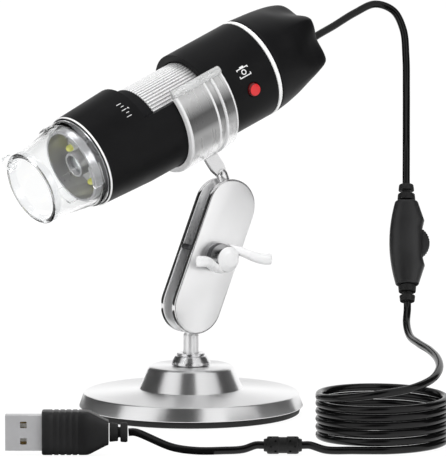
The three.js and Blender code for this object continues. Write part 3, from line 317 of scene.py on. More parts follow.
# every finish: dark and light colour, the span of its roughness, and what else it sets
finishes = {
    spunSteel: {
        "baseSteel": ((0.91, 0.915), (0.95, 0.955), (0.28, 0.31), {}),
        "postSteel": ((0.86, 0.87), (0.92, 0.93), (0.26, 0.3), {"rings": 7000}),
    },
    brightPlate: {
        "ballSteel": ((0.86, 0.865), (0.92, 0.925), (0.3, 0.34), {"bump": 0.01, "metallic": 0.55}),
        "plateChrome": ((0.97, 0.975), (0.985, 0.99), (0.3, 0.34), {"bump": 0.01}),
        # a darker copy of the plating for the plates' side faces: painted shade
        "plateSide": ((0.74, 0.745), (0.8, 0.805), (0.08, 0.12), {"bump": 0.01}),
        # a darker copy for the wing nut hub's side: painted shade
        "nutSide": ((0.46, 0.465), (0.54, 0.545), (0.2, 0.26), {"bump": 0.01}),
        "strapChrome": ((0.88, 0.885), (0.93, 0.935), (0.22, 0.28), {"bump": 0.02}),
        "plugSteel": (
            (0.44, 0.45), (0.54, 0.55), (0.28, 0.38),
            {"stretch": (0.1, 1, 1), "lines": 1500, "bump": 0.2, "metallic": 0.35},
        ),
        "darkIron": ((0.12, 0.125), (0.2, 0.21), (0.4, 0.6), {"lines": 900, "bump": 0.4}),
        "screwSteel": ((0.5, 0.51), (0.65, 0.66), (0.2, 0.35), {"lines": 1200, "bump": 0.2}),
        "contactGold": ((0.75, 0.5, 0.18), (0.85, 0.6, 0.25), (0.2, 0.3), {}),
    },
    mouldedPlastic: {
        "nutChrome": (
            (0.78, 0.785), (0.86, 0.865), (0.24, 0.3), {"grain": 900, "bump": 0.02, "Coat_Weight": 0.4}
        ),
        # lighter moulded edges of the clip, and a painted highlight on its ridges
        "clipEdge": (
            (0.72, 0.725), (0.82, 0.825), (0.2, 0.28), {"grain": 900, "bump": 0.05, "Coat_Weight": 0.4}
        ),
        "barrelBlack": ((0.004, 0.0045), (0.006, 0.0065), (0.4, 0.5), {"specular": 0.12}),
        "ringBlack": ((0.006, 0.0065), (0.01, 0.011), (0.5, 0.62), {"specular": 0.12}),
        "capBlack": ((0.005, 0.0055), (0.008, 0.0085), (0.38, 0.48), {"specular": 0.12}),
        "controlBlack": ((0.009, 0.0095), (0.015, 0.0155), (0.38, 0.46), {"grain": 3200, "bump": 0.25}),
        "coreBlack": ((0.003, 0.003), (0.006, 0.006), (0.4, 0.5), {"bump": 0.3, "specular": 0.3}),
        "dialBlack": ((0.012, 0.0125), (0.018, 0.019), (0.42, 0.52), {"specular": 0.4}),
        "reliefRubber": (
            (0.008, 0.008), (0.014, 0.014), (0.5, 0.62), {"grain": 1800, "bump": 0.3, "specular": 0.3}
        ),
        "padRubber": ((0.004, 0.004), (0.008, 0.008), (0.6, 0.75), {"grain": 1500, "bump": 0.4}),
        "cordVinyl": (
            (0.0015, 0.0016), (0.003, 0.0031), (0.16, 0.22), {"grain": 900, "bump": 0.02, "specular": 0.32}
        ),
        "cupGrey": ((0.3, 0.31), (0.38, 0.39), (0.26, 0.32), {"grain": 900, "bump": 0.05, "Metallic": 0.7}),
        "carriageGrey": ((0.2, 0.205), (0.26, 0.265), (0.4, 0.5), {}),
        "boardWhite": ((0.55, 0.56), (0.72, 0.73), (0.45, 0.55), {"grain": 700, "bump": 0.2}),
        # the LEDs are unlit: their faint emission is a painted glow
        "lampYellow": (
            (0.7, 0.7, 0.12), (0.8, 0.8, 0.2), (0.12, 0.2),
            {
                "grain": 600, "bump": 0.05, "Coat_Weight": 0.6, "Emission_Color": (0.7, 0.72, 0.16, 1),
                "Emission_Strength": 0.2,
            },
        ),
        "lightWhite": ((0.86, 0.855), (0.92, 0.915), (0.3, 0.4), {"grain": 900, "bump": 0.05}),
        "markPaint": ((0.7, 0.7), (0.82, 0.82), (0.5, 0.6), {"grain": 2400, "bump": 0.2}),
        "chipBlack": ((0.006, 0.006), (0.01, 0.012), (0.15, 0.25), {}),
        "tongueWhite": ((0.6, 0.59, 0.55), (0.74, 0.73, 0.68), (0.4, 0.5), {}),
    },
    # these have a tint and a refractive index in place of the two colours
    clearPlastic: {
        "clipLip": ((0.9, 0.905, 0.905), 1.25, (0.2, 0.3), {"clear": 0.62, "Coat_Weight": 0.6}),
        "capClear": ((0.985, 0.99, 0.99), 1.22, (0.0, 0.05), {"Coat_Weight": 0.35}),
        "capRim": ((0.88, 0.89, 0.9), 1.3, (0.14, 0.24), {"Coat_Weight": 0.4}),
        "lensGlass": ((0.92, 0.97, 0.99), 1.5, (0.0, 0.02), {}),
    },
}
ownMakers = {
    # the clip band's finish carries painted shade and a painted sheen, the button's finish painted shade
    "clipSteel": clipBandSteel, "wheelSilver": ribbedSilver, "buttonRed": pressedRed,
    "circuitGreen": solderMask,
}
finish = {name: maker(name) for name, maker in ownMakers.items()}
for maker, rows in finishes.items():
    for name, (first, second, roughness, values) in rows.items():
        finish[name] = maker(name, first, second, roughness, **values)
print("materials made:", len(finish))


# mesh helpers
mergeWithin = 0.0000005  # metres


def linked(name, data, place):
    piece = bpy.data.objects.new(name, data)
    scene.collection.objects.link(piece)
    piece.matrix_world = place
    return piece


def addPiece(name, points, faces, material, body, place, sharp=32):
    mesh = bpy.data.meshes.new(name)
    mesh.from_pydata([Vector(p) * mm for p in points], [], faces)
    build = bmesh.new()
    build.from_mesh(mesh)
    bmesh.ops.remove_doubles(build, verts=build.verts, dist=mergeWithin)
    bmesh.ops.recalc_face_normals(build, faces=build.faces)
    build.to_mesh(mesh)
    build.free()
    mesh.shade_smooth()
    mesh.set_sharp_from_angle(angle=math.radians(sharp))
    mesh.materials.append(finish[material])
    piece = linked(name, mesh, place)
    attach(piece, body)
    return piece


def paintFaces(piece, material, chosen):
    # gives a second finish to the faces that chosen(centre in millimetres, normal) picks
    mesh = piece.data
    mesh.materials.append(finish[material])
    slot = len(mesh.materials) - 1
    for polygon in mesh.polygons:
        if chosen(polygon.center / mm, polygon.normal):
            polygon.material_index = slot


def rounded(corners, steps=5, closed=False):
    # corners are (x, y) or (x, y, radius): a radius turns the corner into an arc
    result = []
    count = len(corners)
    for i, corner in enumerate(corners):
        here = Vector(corner[:2])
        radius = corner[2] if len(corner) > 2 else 0
        if radius == 0 or (not closed and i in (0, count - 1)):
            result.append(tuple(here))
            continue
        before = (Vector(corners[i - 1][:2]) - here).normalized()
        after = (Vector(corners[(i + 1) % count][:2]) - here).normalized()
        half = before.angle(after) / 2
        reach = radius / math.tan(half)
        centre = here + (before + after).normalized() * (radius / math.sin(half))
        start = here + before * reach - centre
        end = here + after * reach - centre
        turn = math.atan2(start.x * end.y - start.y * end.x, start.dot(end))
        for k in range(steps + 1):
            c, s = polar(1, turn * k / steps)
            result.append((centre.x + start.x * c - start.y * s, centre.y + start.x * s + start.y * c))
    return result


def turnedMesh(profile, sides):
    # rings round local Z from (radius, height) points
    points, faces, rows = [], [], []
    for radius, height in profile:
        start = len(points)
        if abs(radius) < 1e-6:
            points.append((0, 0, height))
            rows.append([start] * sides)
        else:
            points += [polar(radius, angle, height) for angle in fullTurn(sides)]
            rows.append(range(start, start + sides))
    for low, high in zip(rows, rows[1:]):
        for k in range(sides):
            n = (k + 1) % sides
            corners = tuple(dict.fromkeys((low[k], low[n], high[n], high[k])))
            if len(corners) > 2:
                faces.append(corners)
    return points, faces


def turnedPiece(name, profile, material, body, place, sides=96, sharp=32):
    return addPiece(name, *turnedMesh(profile, sides), material, body, place, sharp)


def addRings(points, faces, rings):
    # a skin over a row of equal closed rings, with both ends covered
    start, sides = len(points), len(rings[0])
    points += [p for ring in rings for p in ring]
    for low in range(start, len(points) - sides, sides):
        for k in range(sides):
            n = (k + 1) % sides
            faces.append((low + k, low + n, low + sides + n, low + sides + k))
    faces.append(tuple(reversed(range(start, start + sides))))
    faces.append(tuple(range(len(points) - sides, len(points))))


def bar(x0, y0, x1, y1):
    return [(x0, y0), (x1, y0), (x1, y1), (x0, y1)]


def boxRow(places, outline, heights):
    # equal boxes, one at each place
    points, faces = [], []
    for place in places:
        addRings(points, faces, [[place @ Vector((*corner, z)) for corner in outline] for z in heights])
    return points, faces


def loftedPiece(name, rings, material, body, place, sharp=32):
    points, faces = [], []
    addRings(points, faces, rings)
    return addPiece(name, points, faces, material, body, place, sharp)


def signedPower(value, power):
    return math.copysign(abs(value) ** power, value)


def ovalRing(halfWidth, halfDepth, height, power, sides, centre=(0, 0)):
    ring = []
    for angle in fullTurn(sides):
        x, y = (signedPower(share, 2 / power) for share in polar(1, angle))
        ring.append((centre[0] + x * halfWidth, centre[1] + y * halfDepth, height))
    return ring


def bareObject(name, build, place):
    mesh = bpy.data.meshes.new(name)
    build.to_mesh(mesh)
    build.free()
    return linked(name, mesh, place)


def addRod(build, radius, length, segments, place=Matrix()):
    bmesh.ops.create_cone(
        build, cap_ends=True, segments=segments, radius1=radius * mm, radius2=radius * mm,
        depth=length * mm, matrix=place,
    )


def rodCutter(radius, length, place):
    build = bmesh.new()
    addRod(build, radius, length, 48)
    return bareObject("rodCutter", build, place)


def ballCutter(radius, place):
    build = bmesh.new()
    bmesh.ops.create_uvsphere(build, u_segments=48, v_segments=24, radius=radius * mm)
    return bareObject("ballCutter", build, place)


def cutAway(piece, cutter, sharp=32):
    # takes the cutter's space out of the piece for good, then deletes the cutter
    cut = setAll(piece.modifiers.new("cut", "BOOLEAN"), object=cutter, operation="DIFFERENCE", solver="EXACT")
    bpy.context.view_layer.update()
    result = bpy.data.meshes.new_from_object(piece.evaluated_get(bpy.context.evaluated_depsgraph_get()))
    piece.modifiers.remove(cut)
    piece.data = result
    result.shade_smooth()
    result.set_sharp_from_angle(angle=math.radians(sharp))
    bpy.data.objects.remove(cutter)


def smoothRoute(corners, spacing=0.9):
    # a centripetal Catmull-Rom line through the corners, in millimetres
    corners = [Vector(p) for p in corners]
    ends = [2 * corners[0] - corners[1], *corners, 2 * corners[-1] - corners[-2]]
    line = []
    for i in range(1, len(ends) - 2):
        p0, p1, p2, p3 = ends[i - 1 : i + 3]
        d0, d1, d2 = (math.sqrt((b - a).length) for a, b in ((p0, p1), (p1, p2), (p2, p3)))
        m1 = ((p1 - p0) / d0 - (p2 - p0) / (d0 + d1) + (p2 - p1) / d1) * d1
        m2 = ((p2 - p1) / d1 - (p3 - p1) / (d1 + d2) + (p3 - p2) / d2) * d1
        square = 3 * (p2 - p1) - 2 * m1 - m2
        cube = 2 * (p1 - p2) + m1 + m2
        steps = max(2, round((p2 - p1).length / spacing))
        for k in range(steps):
            t = k / steps
            line.append(p1 + m1 * t + square * t**2 + cube * t**3)
    line.append(corners[-1])
    return line


# the cord: gland to control, control to coil, coil to plug
cordPlan = {
    "diameter": 2.3,
    "jacket": 2.66,
    "gland": (2.9, 96.7, 99.5),  # offset, angle and station where it leaves the barrel
    "reliefEnd": 21.9,
    "upper": [
        (43.6, 46.6, 127.4), (50.6, 51.5, 131.1), (58.2, 56.2, 135.3), (65.5, 58.9, 138.2),
        (71.9, 58.6, 135.9), (75.4, 55.4, 129.5), (76.3, 50.2, 120.2), (76.3, 43.1, 109.3),
        (76.1, 34.4, 98.8), (75.9, 26.3, 90.5),
    ],
    "middle": [
        (75.3, -6.4, 32.6), (76.2, -15.5, 29.4), (79, -29, 28.6), (82.4, -43, 28.2), (84.7, -57, 27.2),
        (84.7, -70, 25.6), (81.4, -81.5, 23.6), (73.8, -89.6, 21.8), (62.8, -92, 20.3), (52.4, -88, 18.6),
        (45.8, -80.6, 17.4),
    ],
    "middleEnd": (4.9, 2.6),  # its last two points, so far in front of the coil's first turn
    "coilCentre": (65.5, -70),
    "coilRadius": 21.5,
    "coilTurns": 5.75,
    "coilPitch": 2.75,
    "coilLead": 2.3,  # its first point lies so far in front of the coil
    "pointsPerTurn": 72,
    "run": [(60.6, -91.5, 1.15), (55, -91.5, 1.2), (46, -91.5, 1.35), (40.45, -91.5, 3), (38.15, -91.5, 3)],
    "ferrite": (31.4, -91.5, 3),
    "toPlug": [
        (24.65, -91.5, 3), (22.35, -91.5, 3), (18, -91.6, 1.6), (11, -91.8, 1.2), (2, -92, 1.2),
        (-6, -92, 2.4), (-18.4, -92, 7.5), (-20.7, -92, 7.5),
    ],
}


def cordPiece(name, line, body, nodes):
    data = bpy.data.curves.new(name, "CURVE")
    thickness = cordPlan["jacket"] / 2 * mm
    setAll(data, dimensions="3D", bevel_depth=thickness, bevel_resolution=8, use_fill_caps=True)
    spline = data.splines.new("POLY")
    spline.points.add(len(line) - 1)
    for spot, place in zip(spline.points, line):
        spot.co = (*(place * mm), 1)
    spline.use_smooth = True
    data.materials.append(finish["cordVinyl"])
    piece = linked(name, data, Matrix())
    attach(piece, body)
    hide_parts(*nodes)
    return piece


def placed(place, spot):
    # where a frame's point lies in the object, both in millimetres
    return (place @ (Vector(spot) * mm)) / mm


def coilTop():
    return cordPlan["diameter"] / 2 + cordPlan["coilTurns"] * cordPlan["coilPitch"]


def upperLine():
    offset, degrees, station = cordPlan["gland"]
    thick, reach = cordPlan["diameter"], cordPlan["reliefEnd"]
    turn = math.radians(degrees)
    start = [placed(scopeFrame, polar(offset, turn, z)) for z in (station, station + thick)]
    end = [placed(controlFrame, (0, 0, z)) for z in (reach + thick, reach)]
    return smoothRoute([*start, *cordPlan["upper"], *end])


def middleLine():
    reach = cordPlan["reliefEnd"]
    start = [placed(controlFrame, (0, 0, -z)) for z in (reach, reach + cordPlan["diameter"])]
    x, y = cordPlan["coilCentre"]
    end = [(x - cordPlan["coilRadius"], y - before, coilTop()) for before in cordPlan["middleEnd"]]
    return smoothRoute([*start, *cordPlan["middle"], *end])


def leadLine():
    cx, cy = cordPlan["coilCentre"]
    radius, perTurn = cordPlan["coilRadius"], cordPlan["pointsPerTurn"]
    line = [Vector((cx - radius, cy - cordPlan["coilLead"], coilTop()))]
    for i in range(round(cordPlan["coilTurns"] * perTurn) + 1):
        x, y = polar(radius, math.pi - 2 * math.pi * i / perTurn)
        line.append(Vector((cx + x, cy + y, coilTop() - cordPlan["coilPitch"] * i / perTurn)))
    return line + smoothRoute([line[-1], *cordPlan["run"], *cordPlan["toPlug"]])[1:]


upperRoute = upperLine()
middleRoute = middleLine()
leadRoute = leadLine()
upperCord = cordPiece("upperCord", upperRoute, "scope", ["cord_upper"])
middleCord = cordPiece("middleCord", middleRoute, "scope", ["cord_middle"])
leadCord = cordPiece("leadCord", leadRoute, "root", ["cord_coil", "cord_run_a", "cord_run_b"])
print("cords made")


# round base, pad, collar and ball post
base = {
    "shell": [
        (37.4, 2.4), (39.0, 2.4, 0.1), (39.2, 2.6, 0.1), (37.6, 7.3, 0.7), (18.2, 8.7, 0.4),
        (14.7, 16.8, 1.9), (2.9, 16.8), (2.9, 14.9), (12.2, 14.9), (16.4, 6.9), (34.1, 5.4), (37.4, 2.4),
    ],
    "pad": [
        (0, 0), (35.5, 0), (36.6, 0.35, 0.2), (37.4, 0, 0.2), (38, 0.3, 0.3), (38.3, 2.1, 0.2), (37.6, 2.3),
        (0, 2.3),
    ],
    "collar": [
        (2.9, 17.0), (6.9, 17.0, 0.3), (6.75, 18.1, 0.8), (5.6, 20.2, 0.6), (4.6, 20.4, 0.15),
        (5.0, 20.6, 0.15), (5.0, 21.2, 0.2), (2.9, 21.2), (2.9, 17.0),
    ],
    "post": [
        (0, 8.1), (2.3, 8.1, 0.2), (2.55, 8.5, 0.2), (2.7, 20.0, 0.3), (2.7, 27.4, 0.4), (2.35, 28.2, 0.4),
        (2.35, 35.0, 0.3),
    ],
    "ballRadius": 4.0,
    "ballFrom": -58,  # degrees, up to the ball's top
    "ballStep": 4,
}


def makeBase():
    origin = Matrix()
    shell = turnedPiece("baseShell", rounded(base["shell"]), "baseSteel", "root", origin, sides=192, sharp=28)
    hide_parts("base_shell")
    pad = turnedPiece("basePad", rounded(base["pad"], 3), "padRubber", "root", origin, sides=160)
    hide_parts("base_pad")
    collar = turnedPiece("postCollar", rounded(base["collar"]), "postSteel", "root", origin)
    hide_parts("post_collar")
    ball = []
    for degrees in range(base["ballFrom"], 90, base["ballStep"]):
        radius, rise = polar(base["ballRadius"], math.radians(degrees))
        ball.append((radius, stand["lowerBall"] + rise))
    ball.append((0, stand["lowerBall"] + base["ballRadius"]))
    post = turnedPiece("ballPost", rounded(base["post"]) + ball, "ballSteel", "post", origin, sides=64)
    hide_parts("ball_post")


makeBase()
print("base made")


# arm plates with softened edges
plate = {
    "span": 36.5,
    "endRadius": 10,
    "endSteps": 32,
    "inner": 2.5,
    # depth from the inner face and inset there
    "edge": [
        (0, 0.3), (0.1, 0.1), (0.3, 0), (1.45, 0), (1.75, 0.06), (2.0, 0.24), (2.14, 0.48), (2.2, 0.8),
    ],
    "pocket": 4.35,
    "bore": 2.35,
    "boreLength": 12,
    "paintedShadeSlope": 0.8,  # faces that look less than this far to the front get a darker finish, which is painted shade
}


def stadium(inset, depth):
    steps = plate["endSteps"]
    ring = []
    for start, middle in ((180, 0), (0, plate["span"])):
        for k in range(steps + 1):
            x, z = polar(plate["endRadius"] - inset, math.radians(start + 180 * k / steps))
            ring.append((x, depth, middle + z))
    return ring


def makePlate(name, node, side):
    rings = [stadium(inset, side * (plate["inner"] + depth)) for depth, inset in plate["edge"]]
    piece = loftedPiece(name, rings, "plateChrome", "arm", armFrame, sharp=40)
    # the side faces get a darker finish, which is painted shade
    paintFaces(piece, "plateSide", lambda centre, normal: abs(normal.y) < plate["paintedShadeSlope"])
    for along in (0, stand["upperBallAlong"]):
        cutAway(piece, ballCutter(plate["pocket"], armFrame @ shift(0, 0, along)))
    middle = armFrame @ shift(0, 0, plate["span"] / 2) @ turnX(90)
    cutAway(piece, rodCutter(plate["bore"], plate["boreLength"], middle))
    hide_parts(node)


# wing nut: seat, domed hub and two S-bent wings
wingNut = {
    "seat": [(2.35, 6.1), (5.0, 6.1, 0.2), (5.0, 7.9, 0.2), (2.35, 7.9), (2.35, 6.1)],
    "hub": [
        (2.35, 7.95), (4.75, 7.95, 0.25), (4.9, 8.4, 0.2), (4.6, 12.6, 1.2), (2.6, 14.0, 1), (0, 14.3),
        (0, 11.3), (2.35, 11.3), (2.35, 7.95),
    ],
    "hubSides": 72,
    "hubWall": (4.4, 4.95),  # the radii between which its side carries painted shade,
    "hubSlope": 0.6,  # where it looks less than this far to the front
    "under": ((1.2, 8.6), (7.4, 8.0), (8.8, 14.3), (15, 14.6)),
    "over": ((1.2, 12.4), (6.6, 12.6), (6.8, 17.2), (15, 17.2)),
    "halfHeight": 2.0,
    "waist": 0.86,
    "tip": 1.0,
    "tipHeight": 0.45,
    # how far each wing leaves the hub to one side of it, and where its tip ends
    "rootAside": 3.3,
    "tipAside": -0.7,
    "steps": 26,
    "tipSteps": 6,
    "sides": 28,
    "squareness": 0.75,
}


def bezierPoint(corners, t):
    a, b, c, d = (Vector(p) for p in corners)
    return a * (1 - t) ** 3 + 3 * b * t * (1 - t) ** 2 + 3 * c * t**2 * (1 - t) + d * t**3


def wingRings(flipX, flipZ):
    steps, tipSteps = wingNut["steps"], wingNut["tipSteps"]
    stations = [(i / steps, 0) for i in range(steps + 1)]
    stations += [(1, (k + 1) / tipSteps) for k in range(tipSteps)]
    rings = []
    for t, past in stations:
        under, over = bezierPoint(wingNut["under"], t), bezierPoint(wingNut["over"], t)
        shrink = math.sqrt(max(0.02, 1 - past**2))
        middle = (under + over) / 2 + Vector((wingNut["tip"] * past, 0))
        half = (over - under) / 2 * shrink
        # the ribbon waists a little and broadens towards its rounded tip
        broad = wingNut["halfHeight"] * (wingNut["waist"] + (1 - wingNut["waist"]) * t**2)
        broad *= wingNut["tipHeight"] + (1 - wingNut["tipHeight"]) * shrink
        settled = t**2 * (3 - 2 * t)
        aside = wingNut["rootAside"] + (wingNut["tipAside"] - wingNut["rootAside"]) * settled
        ring = []
        for angle in fullTurn(wingNut["sides"]):
            across, up = (signedPower(share, wingNut["squareness"]) for share in polar(1, angle))
            spot = middle + half * across
            ring.append((flipX * spot.x, -spot.y, flipZ * (broad * up - aside)))
        rings.append(ring)
    return rings


def nutMesh(profile):
    # turned round the screw's axis, which points to the front
    points, faces = turnedMesh(rounded(profile), wingNut["hubSides"])
    return [(x, -z, y) for x, y, z in points], faces


def onHubWall(centre, normal):
    low, high = wingNut["hubWall"]
    return abs(normal.y) < wingNut["hubSlope"] and low < math.hypot(centre.x, centre.z) < high


def makeWingNut():
    points, faces = nutMesh(wingNut["seat"])
    addPiece("nutSeat", points, faces, "darkIron", "nut", nutFrame, sharp=35)
    points, faces = nutMesh(wingNut["hub"])
    for flip in (1, -1):
        addRings(points, faces, wingRings(flip, -flip))
    piece = addPiece("wingNut", points, faces, "nutChrome", "nut", nutFrame, sharp=35)
    # the hub's side gets a darker finish, which is painted shade
    paintFaces(piece, "nutSide", onHubWall)
    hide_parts("wing_nut")


makePlate("frontPlate", "front_plate", -1)
makePlate("rearPlate", "rear_plate", 1)
makeWingNut()
print("arm made")


# clip: a band open at the top, grooved, with a rolled lip at each end
clip = {
    "start": 34.0,
    "width": 21.4,
    "ends": (-5, 185),  # degrees
    "steps": 96,
    # (station along the width, outer radius) from end to end, with the two ridges beside the groove
    "outline": [
        (0, 18.3), (0, 20.15, 0.25), (0.35, 20.4, 0.2), (0.95, 20.4), (12.55, 20.4, 0.1),
        (12.9, 20.65, 0.12), (13.3, 20.65, 0.12), (13.5, 19.75, 0.2), (15.9, 19.75, 0.2),
        (16.1, 20.65, 0.12), (16.5, 20.65, 0.12), (16.85, 20.4, 0.1), (20.6, 20.4), (21.05, 20.4, 0.2),
        (21.4, 20.15, 0.25), (21.4, 18.3),
    ],
    # stations of the moulded edges, which have a lighter finish, and of the ridges beside the groove, where
    # the same finish is a painted highlight
    "bright": ((-0.1, 0.95), (12.55, 13.45), (15.95, 16.85), (20.6, 21.5)),
    "lip": 1.65,
    "lipEdge": 0.5,
    "lipPlace": 19.95,
    "lipSides": 32,
    "lipMargin": 0.05,
}


def makeClip():
    first, last = (math.radians(end) for end in clip["ends"])
    start, width, lip = clip["start"], clip["width"], clip["lip"]
    outline = rounded(clip["outline"], 3)
    band = []
    for i in range(clip["steps"] + 1):
        turn = first + (last - first) * i / clip["steps"]
        band.append([polar(radius, turn, start + station) for station, radius in outline])
    points, faces = [], []
    addRings(points, faces, band)
    corners = [(0, 0), (0, lip, clip["lipEdge"]), (width, lip, clip["lipEdge"]), (width, 0)]
    lipShape = [(z, radius) for z, radius in rounded(corners, 4) if radius > 0.01]
    lipPlaces = [polar(clip["lipPlace"], end) for end in (first, last)]
    for spot in lipPlaces:
        rings = [ovalRing(radius, radius, start + z, 2, clip["lipSides"], spot) for z, radius in lipShape]
        addRings(points, faces, rings)
    # the band's finish has painted shade and a painted sheen down its face
    piece = addPiece("clipBand", points, faces, "clipSteel", "clip", scopeFrame, sharp=35)

    def onEdge(centre, normal):
        return any(low < centre.z - start < high for low, high in clip["bright"])

    def onLip(centre, normal):
        return any((centre.xy - Vector(spot)).length < lip + clip["lipMargin"] for spot in lipPlaces)

    # lighter moulded edges, and a painted highlight along the ridges
    paintFaces(piece, "clipEdge", onEdge)
    paintFaces(piece, "clipLip", onLip)
    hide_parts("clip_ring")


makeClip()
print("clip made")


# barrel: trim, light ring, button and tail cap
barrel = {
    "radius": 18.0,
    "trim": [
        (16.55, 0.2), (16.6, -0.05, 0.08), (16.8, -0.05, 0.08), (17.0, 0.3, 0.08), (16.9, 0.55), (16.55, 0.2),
    ],
    "lightRing": [
        (15.6, 76.1), (17.95, 76.1, 0.15), (18.15, 76.4, 0.15), (18.15, 77.3, 0.15), (17.95, 77.6, 0.15),
        (15.6, 77.6), (15.6, 76.1),
    ],
    "sides": 128,
    "button": [
        (0, 14.15), (3.3, 14.15), (3.3, 14.95), (2.45, 14.95), (2.45, 18.2, 0.2), (2.05, 19.1, 0.15),
        (0, 19.2),
    ],
    "buttonAngle": 32.4,
    "buttonStation": 65.5,
}
tail = {
    "start": 77.9,
    "end": 102.5,
    "sides": 200,
    "lobes": 5,
    "lobeAngle": -83.3,
    "lobePower": 1.4,
    "scallop": 0.27,
    # share of the cap's length, share of the barrel's radius, share of the scallop's depth
    "shape": [
        (0, 0.978, 0), (0.008, 1, 0), (0.16, 0.985, 0.02), (0.42, 0.955, 0.16), (0.68, 0.905, 0.5),
        (0.88, 0.83, 0.85), (0.955, 0.775, 0.97), (0.985, 0.73, 1), (1, 0.672, 1),
    ],
    "shares": [
        0, 0.004, 0.008, *(0.03 + 0.9 * i / 26 for i in range(27)), 0.95, 0.965, 0.975, 0.985, 0.993, 1,
    ],
    # over the rim: share of the way in to the recess, and rise over the cap's end
    "rim": ((0.25, 0), (0.6, 0), (0.9, -0.05), (1, -0.2)),
    "recessEdge": 6.75,
    "recess": ((6.45, 101.9), (6.4, 101.4), (6.4, 97.1), (6.2, 96.65), (5.8, 96.5), (0.3, 96.5)),
}


def smoothBetween(rows, t):
    # monotone cubic through (t, value, value) rows
    i = max(k for k in range(len(rows) - 1) if rows[k][0] <= t + 1e-9)
    h = rows[i + 1][0] - rows[i][0]
    u = (t - rows[i][0]) / h

    def slope(k, j):
        return (rows[k + 1][j] - rows[k][j]) / (rows[k + 1][0] - rows[k][0])

    def lean(a, b):
        return 0 if a * b <= 0 else 2 * a * b / (a + b)

    result = []
    for j in (1, 2):
        here = slope(i, j)
        before = here if i == 0 else slope(i - 1, j)
        after = here if i == len(rows) - 2 else slope(i + 1, j)
        result.append(
            rows[i][j] * (2 * u**3 - 3 * u**2 + 1) + lean(here, before) * h * (u**3 - 2 * u**2 + u)
            + rows[i + 1][j] * (3 * u**2 - 2 * u**3) + lean(here, after) * h * (u**3 - u**2)
        )
    return result


def lobedRadii(share, angles):
    radius, depth = smoothBetween(tail["shape"], share)
    first = math.radians(tail["lobeAngle"])
    result = []
    for angle in angles:
        wave = abs(math.sin(tail["lobes"] / 2 * (angle - first))) ** tail["lobePower"]
        result.append(barrel["radius"] * radius * (1 - tail["scallop"] * depth * wave))
    return result


def makeTailCap():
    angles = fullTurn(tail["sides"])
    length = tail["end"] - tail["start"]
    # radii and station of every ring, up the outside, over the rim and down into the recess
    rows = [(lobedRadii(share, angles), tail["start"] + share * length) for share in tail["shares"]]
    last = lobedRadii(1, angles)
    for share, rise in tail["rim"]:
        rows.append(([r + (tail["recessEdge"] - r) * share for r in last], tail["end"] + rise))
    rows += [([radius] * len(angles), z) for radius, z in tail["recess"]]
    rings = [[polar(r, angle, z) for r, angle in zip(radii, angles)] for radii, z in rows]
    cap = loftedPiece("tailCap", rings, "capBlack", "scope", scopeFrame, sharp=50)
    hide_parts("tail_cap")


def makeBarrelTrim():
    trim, ring, sides = rounded(barrel["trim"], 3), rounded(barrel["lightRing"], 4), barrel["sides"]
    turnedPiece("noseTrim", trim, "lightWhite", "scope", scopeFrame, sides)
    light = turnedPiece("lightRing", ring, "lightWhite", "scope", scopeFrame, sides)
    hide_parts("light_ring")
    place = scopeFrame @ shift(0, 0, barrel["buttonStation"]) @ turnZ(barrel["buttonAngle"]) @ turnY(90)
    button = turnedPiece("shutterButton", rounded(barrel["button"]), "buttonRed", "button", place, sides=64)
    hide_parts("snap_button")


# printed marks: angle, station, radius of the barrel there and turn of each
marks = {
    "shutter": (9.3, 64.5, 18.0, 180),
    "scale": (-20, 16.6, 17.8, 0),
    "lifts": (-0.15, 0.03),
    "frameX": 2.5,
    "frameY": 1.75,
    "line": 0.36,
    "hump": 0.5,
    "lens": 0.65,
    "lensParts": 24,
    "ticks": (2.0, 1.2, 2.0, 1.2, 2.0),
    "tickPitch": 1.5,
    "tickHalf": 0.11,
    "tickEnd": 1.0,
    "arrow": [(1.3, 0), (2.5, -0.75), (2.5, 0.75)],
}


def onBarrel(name, shapes, angle, station, radius, turn):
    # raised paint: outlines in millimetres, (along the barrel, round it)
    c, s = polar(1, math.radians(turn))
    points, faces = [], []
    for shape in shapes:
        rings = []
        for lift in marks["lifts"]:
            ring = []
            for along, around in shape:
                a = math.radians(angle) + (along * s + around * c) / radius
                ring.append(polar(radius + lift, a, station + along * c - around * s))
            rings.append(ring)
        addRings(points, faces, rings)
    return addPiece(name, points, faces, "markPaint", "scope", scopeFrame, sharp=30)


def hoop(radius, width, parts):
    # a ring of small four-cornered plates
    shapes = []
    for k in range(parts):
        a, b = (2 * math.pi * n / parts for n in (k, k + 1))
        outer = radius + width
        shapes.append([polar(radius, a), polar(outer, a), polar(outer, b), polar(radius, b)])
    return shapes


def makeMarks():
    x, y, line = marks["frameX"], marks["frameY"], marks["line"]
    body = [bar(-x, -y, line - x, y), bar(x - line, -y, x, y), bar(-x, y - line, x, y)]
    body += [bar(-x, -y, x, line - y), bar(-x / 3, y, x / 3, y + marks["hump"])]
    onBarrel("shutterMark", body + hoop(marks["lens"], line, marks["lensParts"]), *marks["shutter"])
    scale = [marks["arrow"]]
    end, half = marks["tickEnd"], marks["tickHalf"]
    for i, reach in enumerate(marks["ticks"]):
        y = (i - (len(marks["ticks"]) - 1) / 2) * marks["tickPitch"]
        scale.append(bar(end - reach, y - half, end, y + half))
    onBarrel("scaleMark", scale, *marks["scale"])


makeBarrelTrim()
makeTailCap()
makeMarks()
print("barrel made")


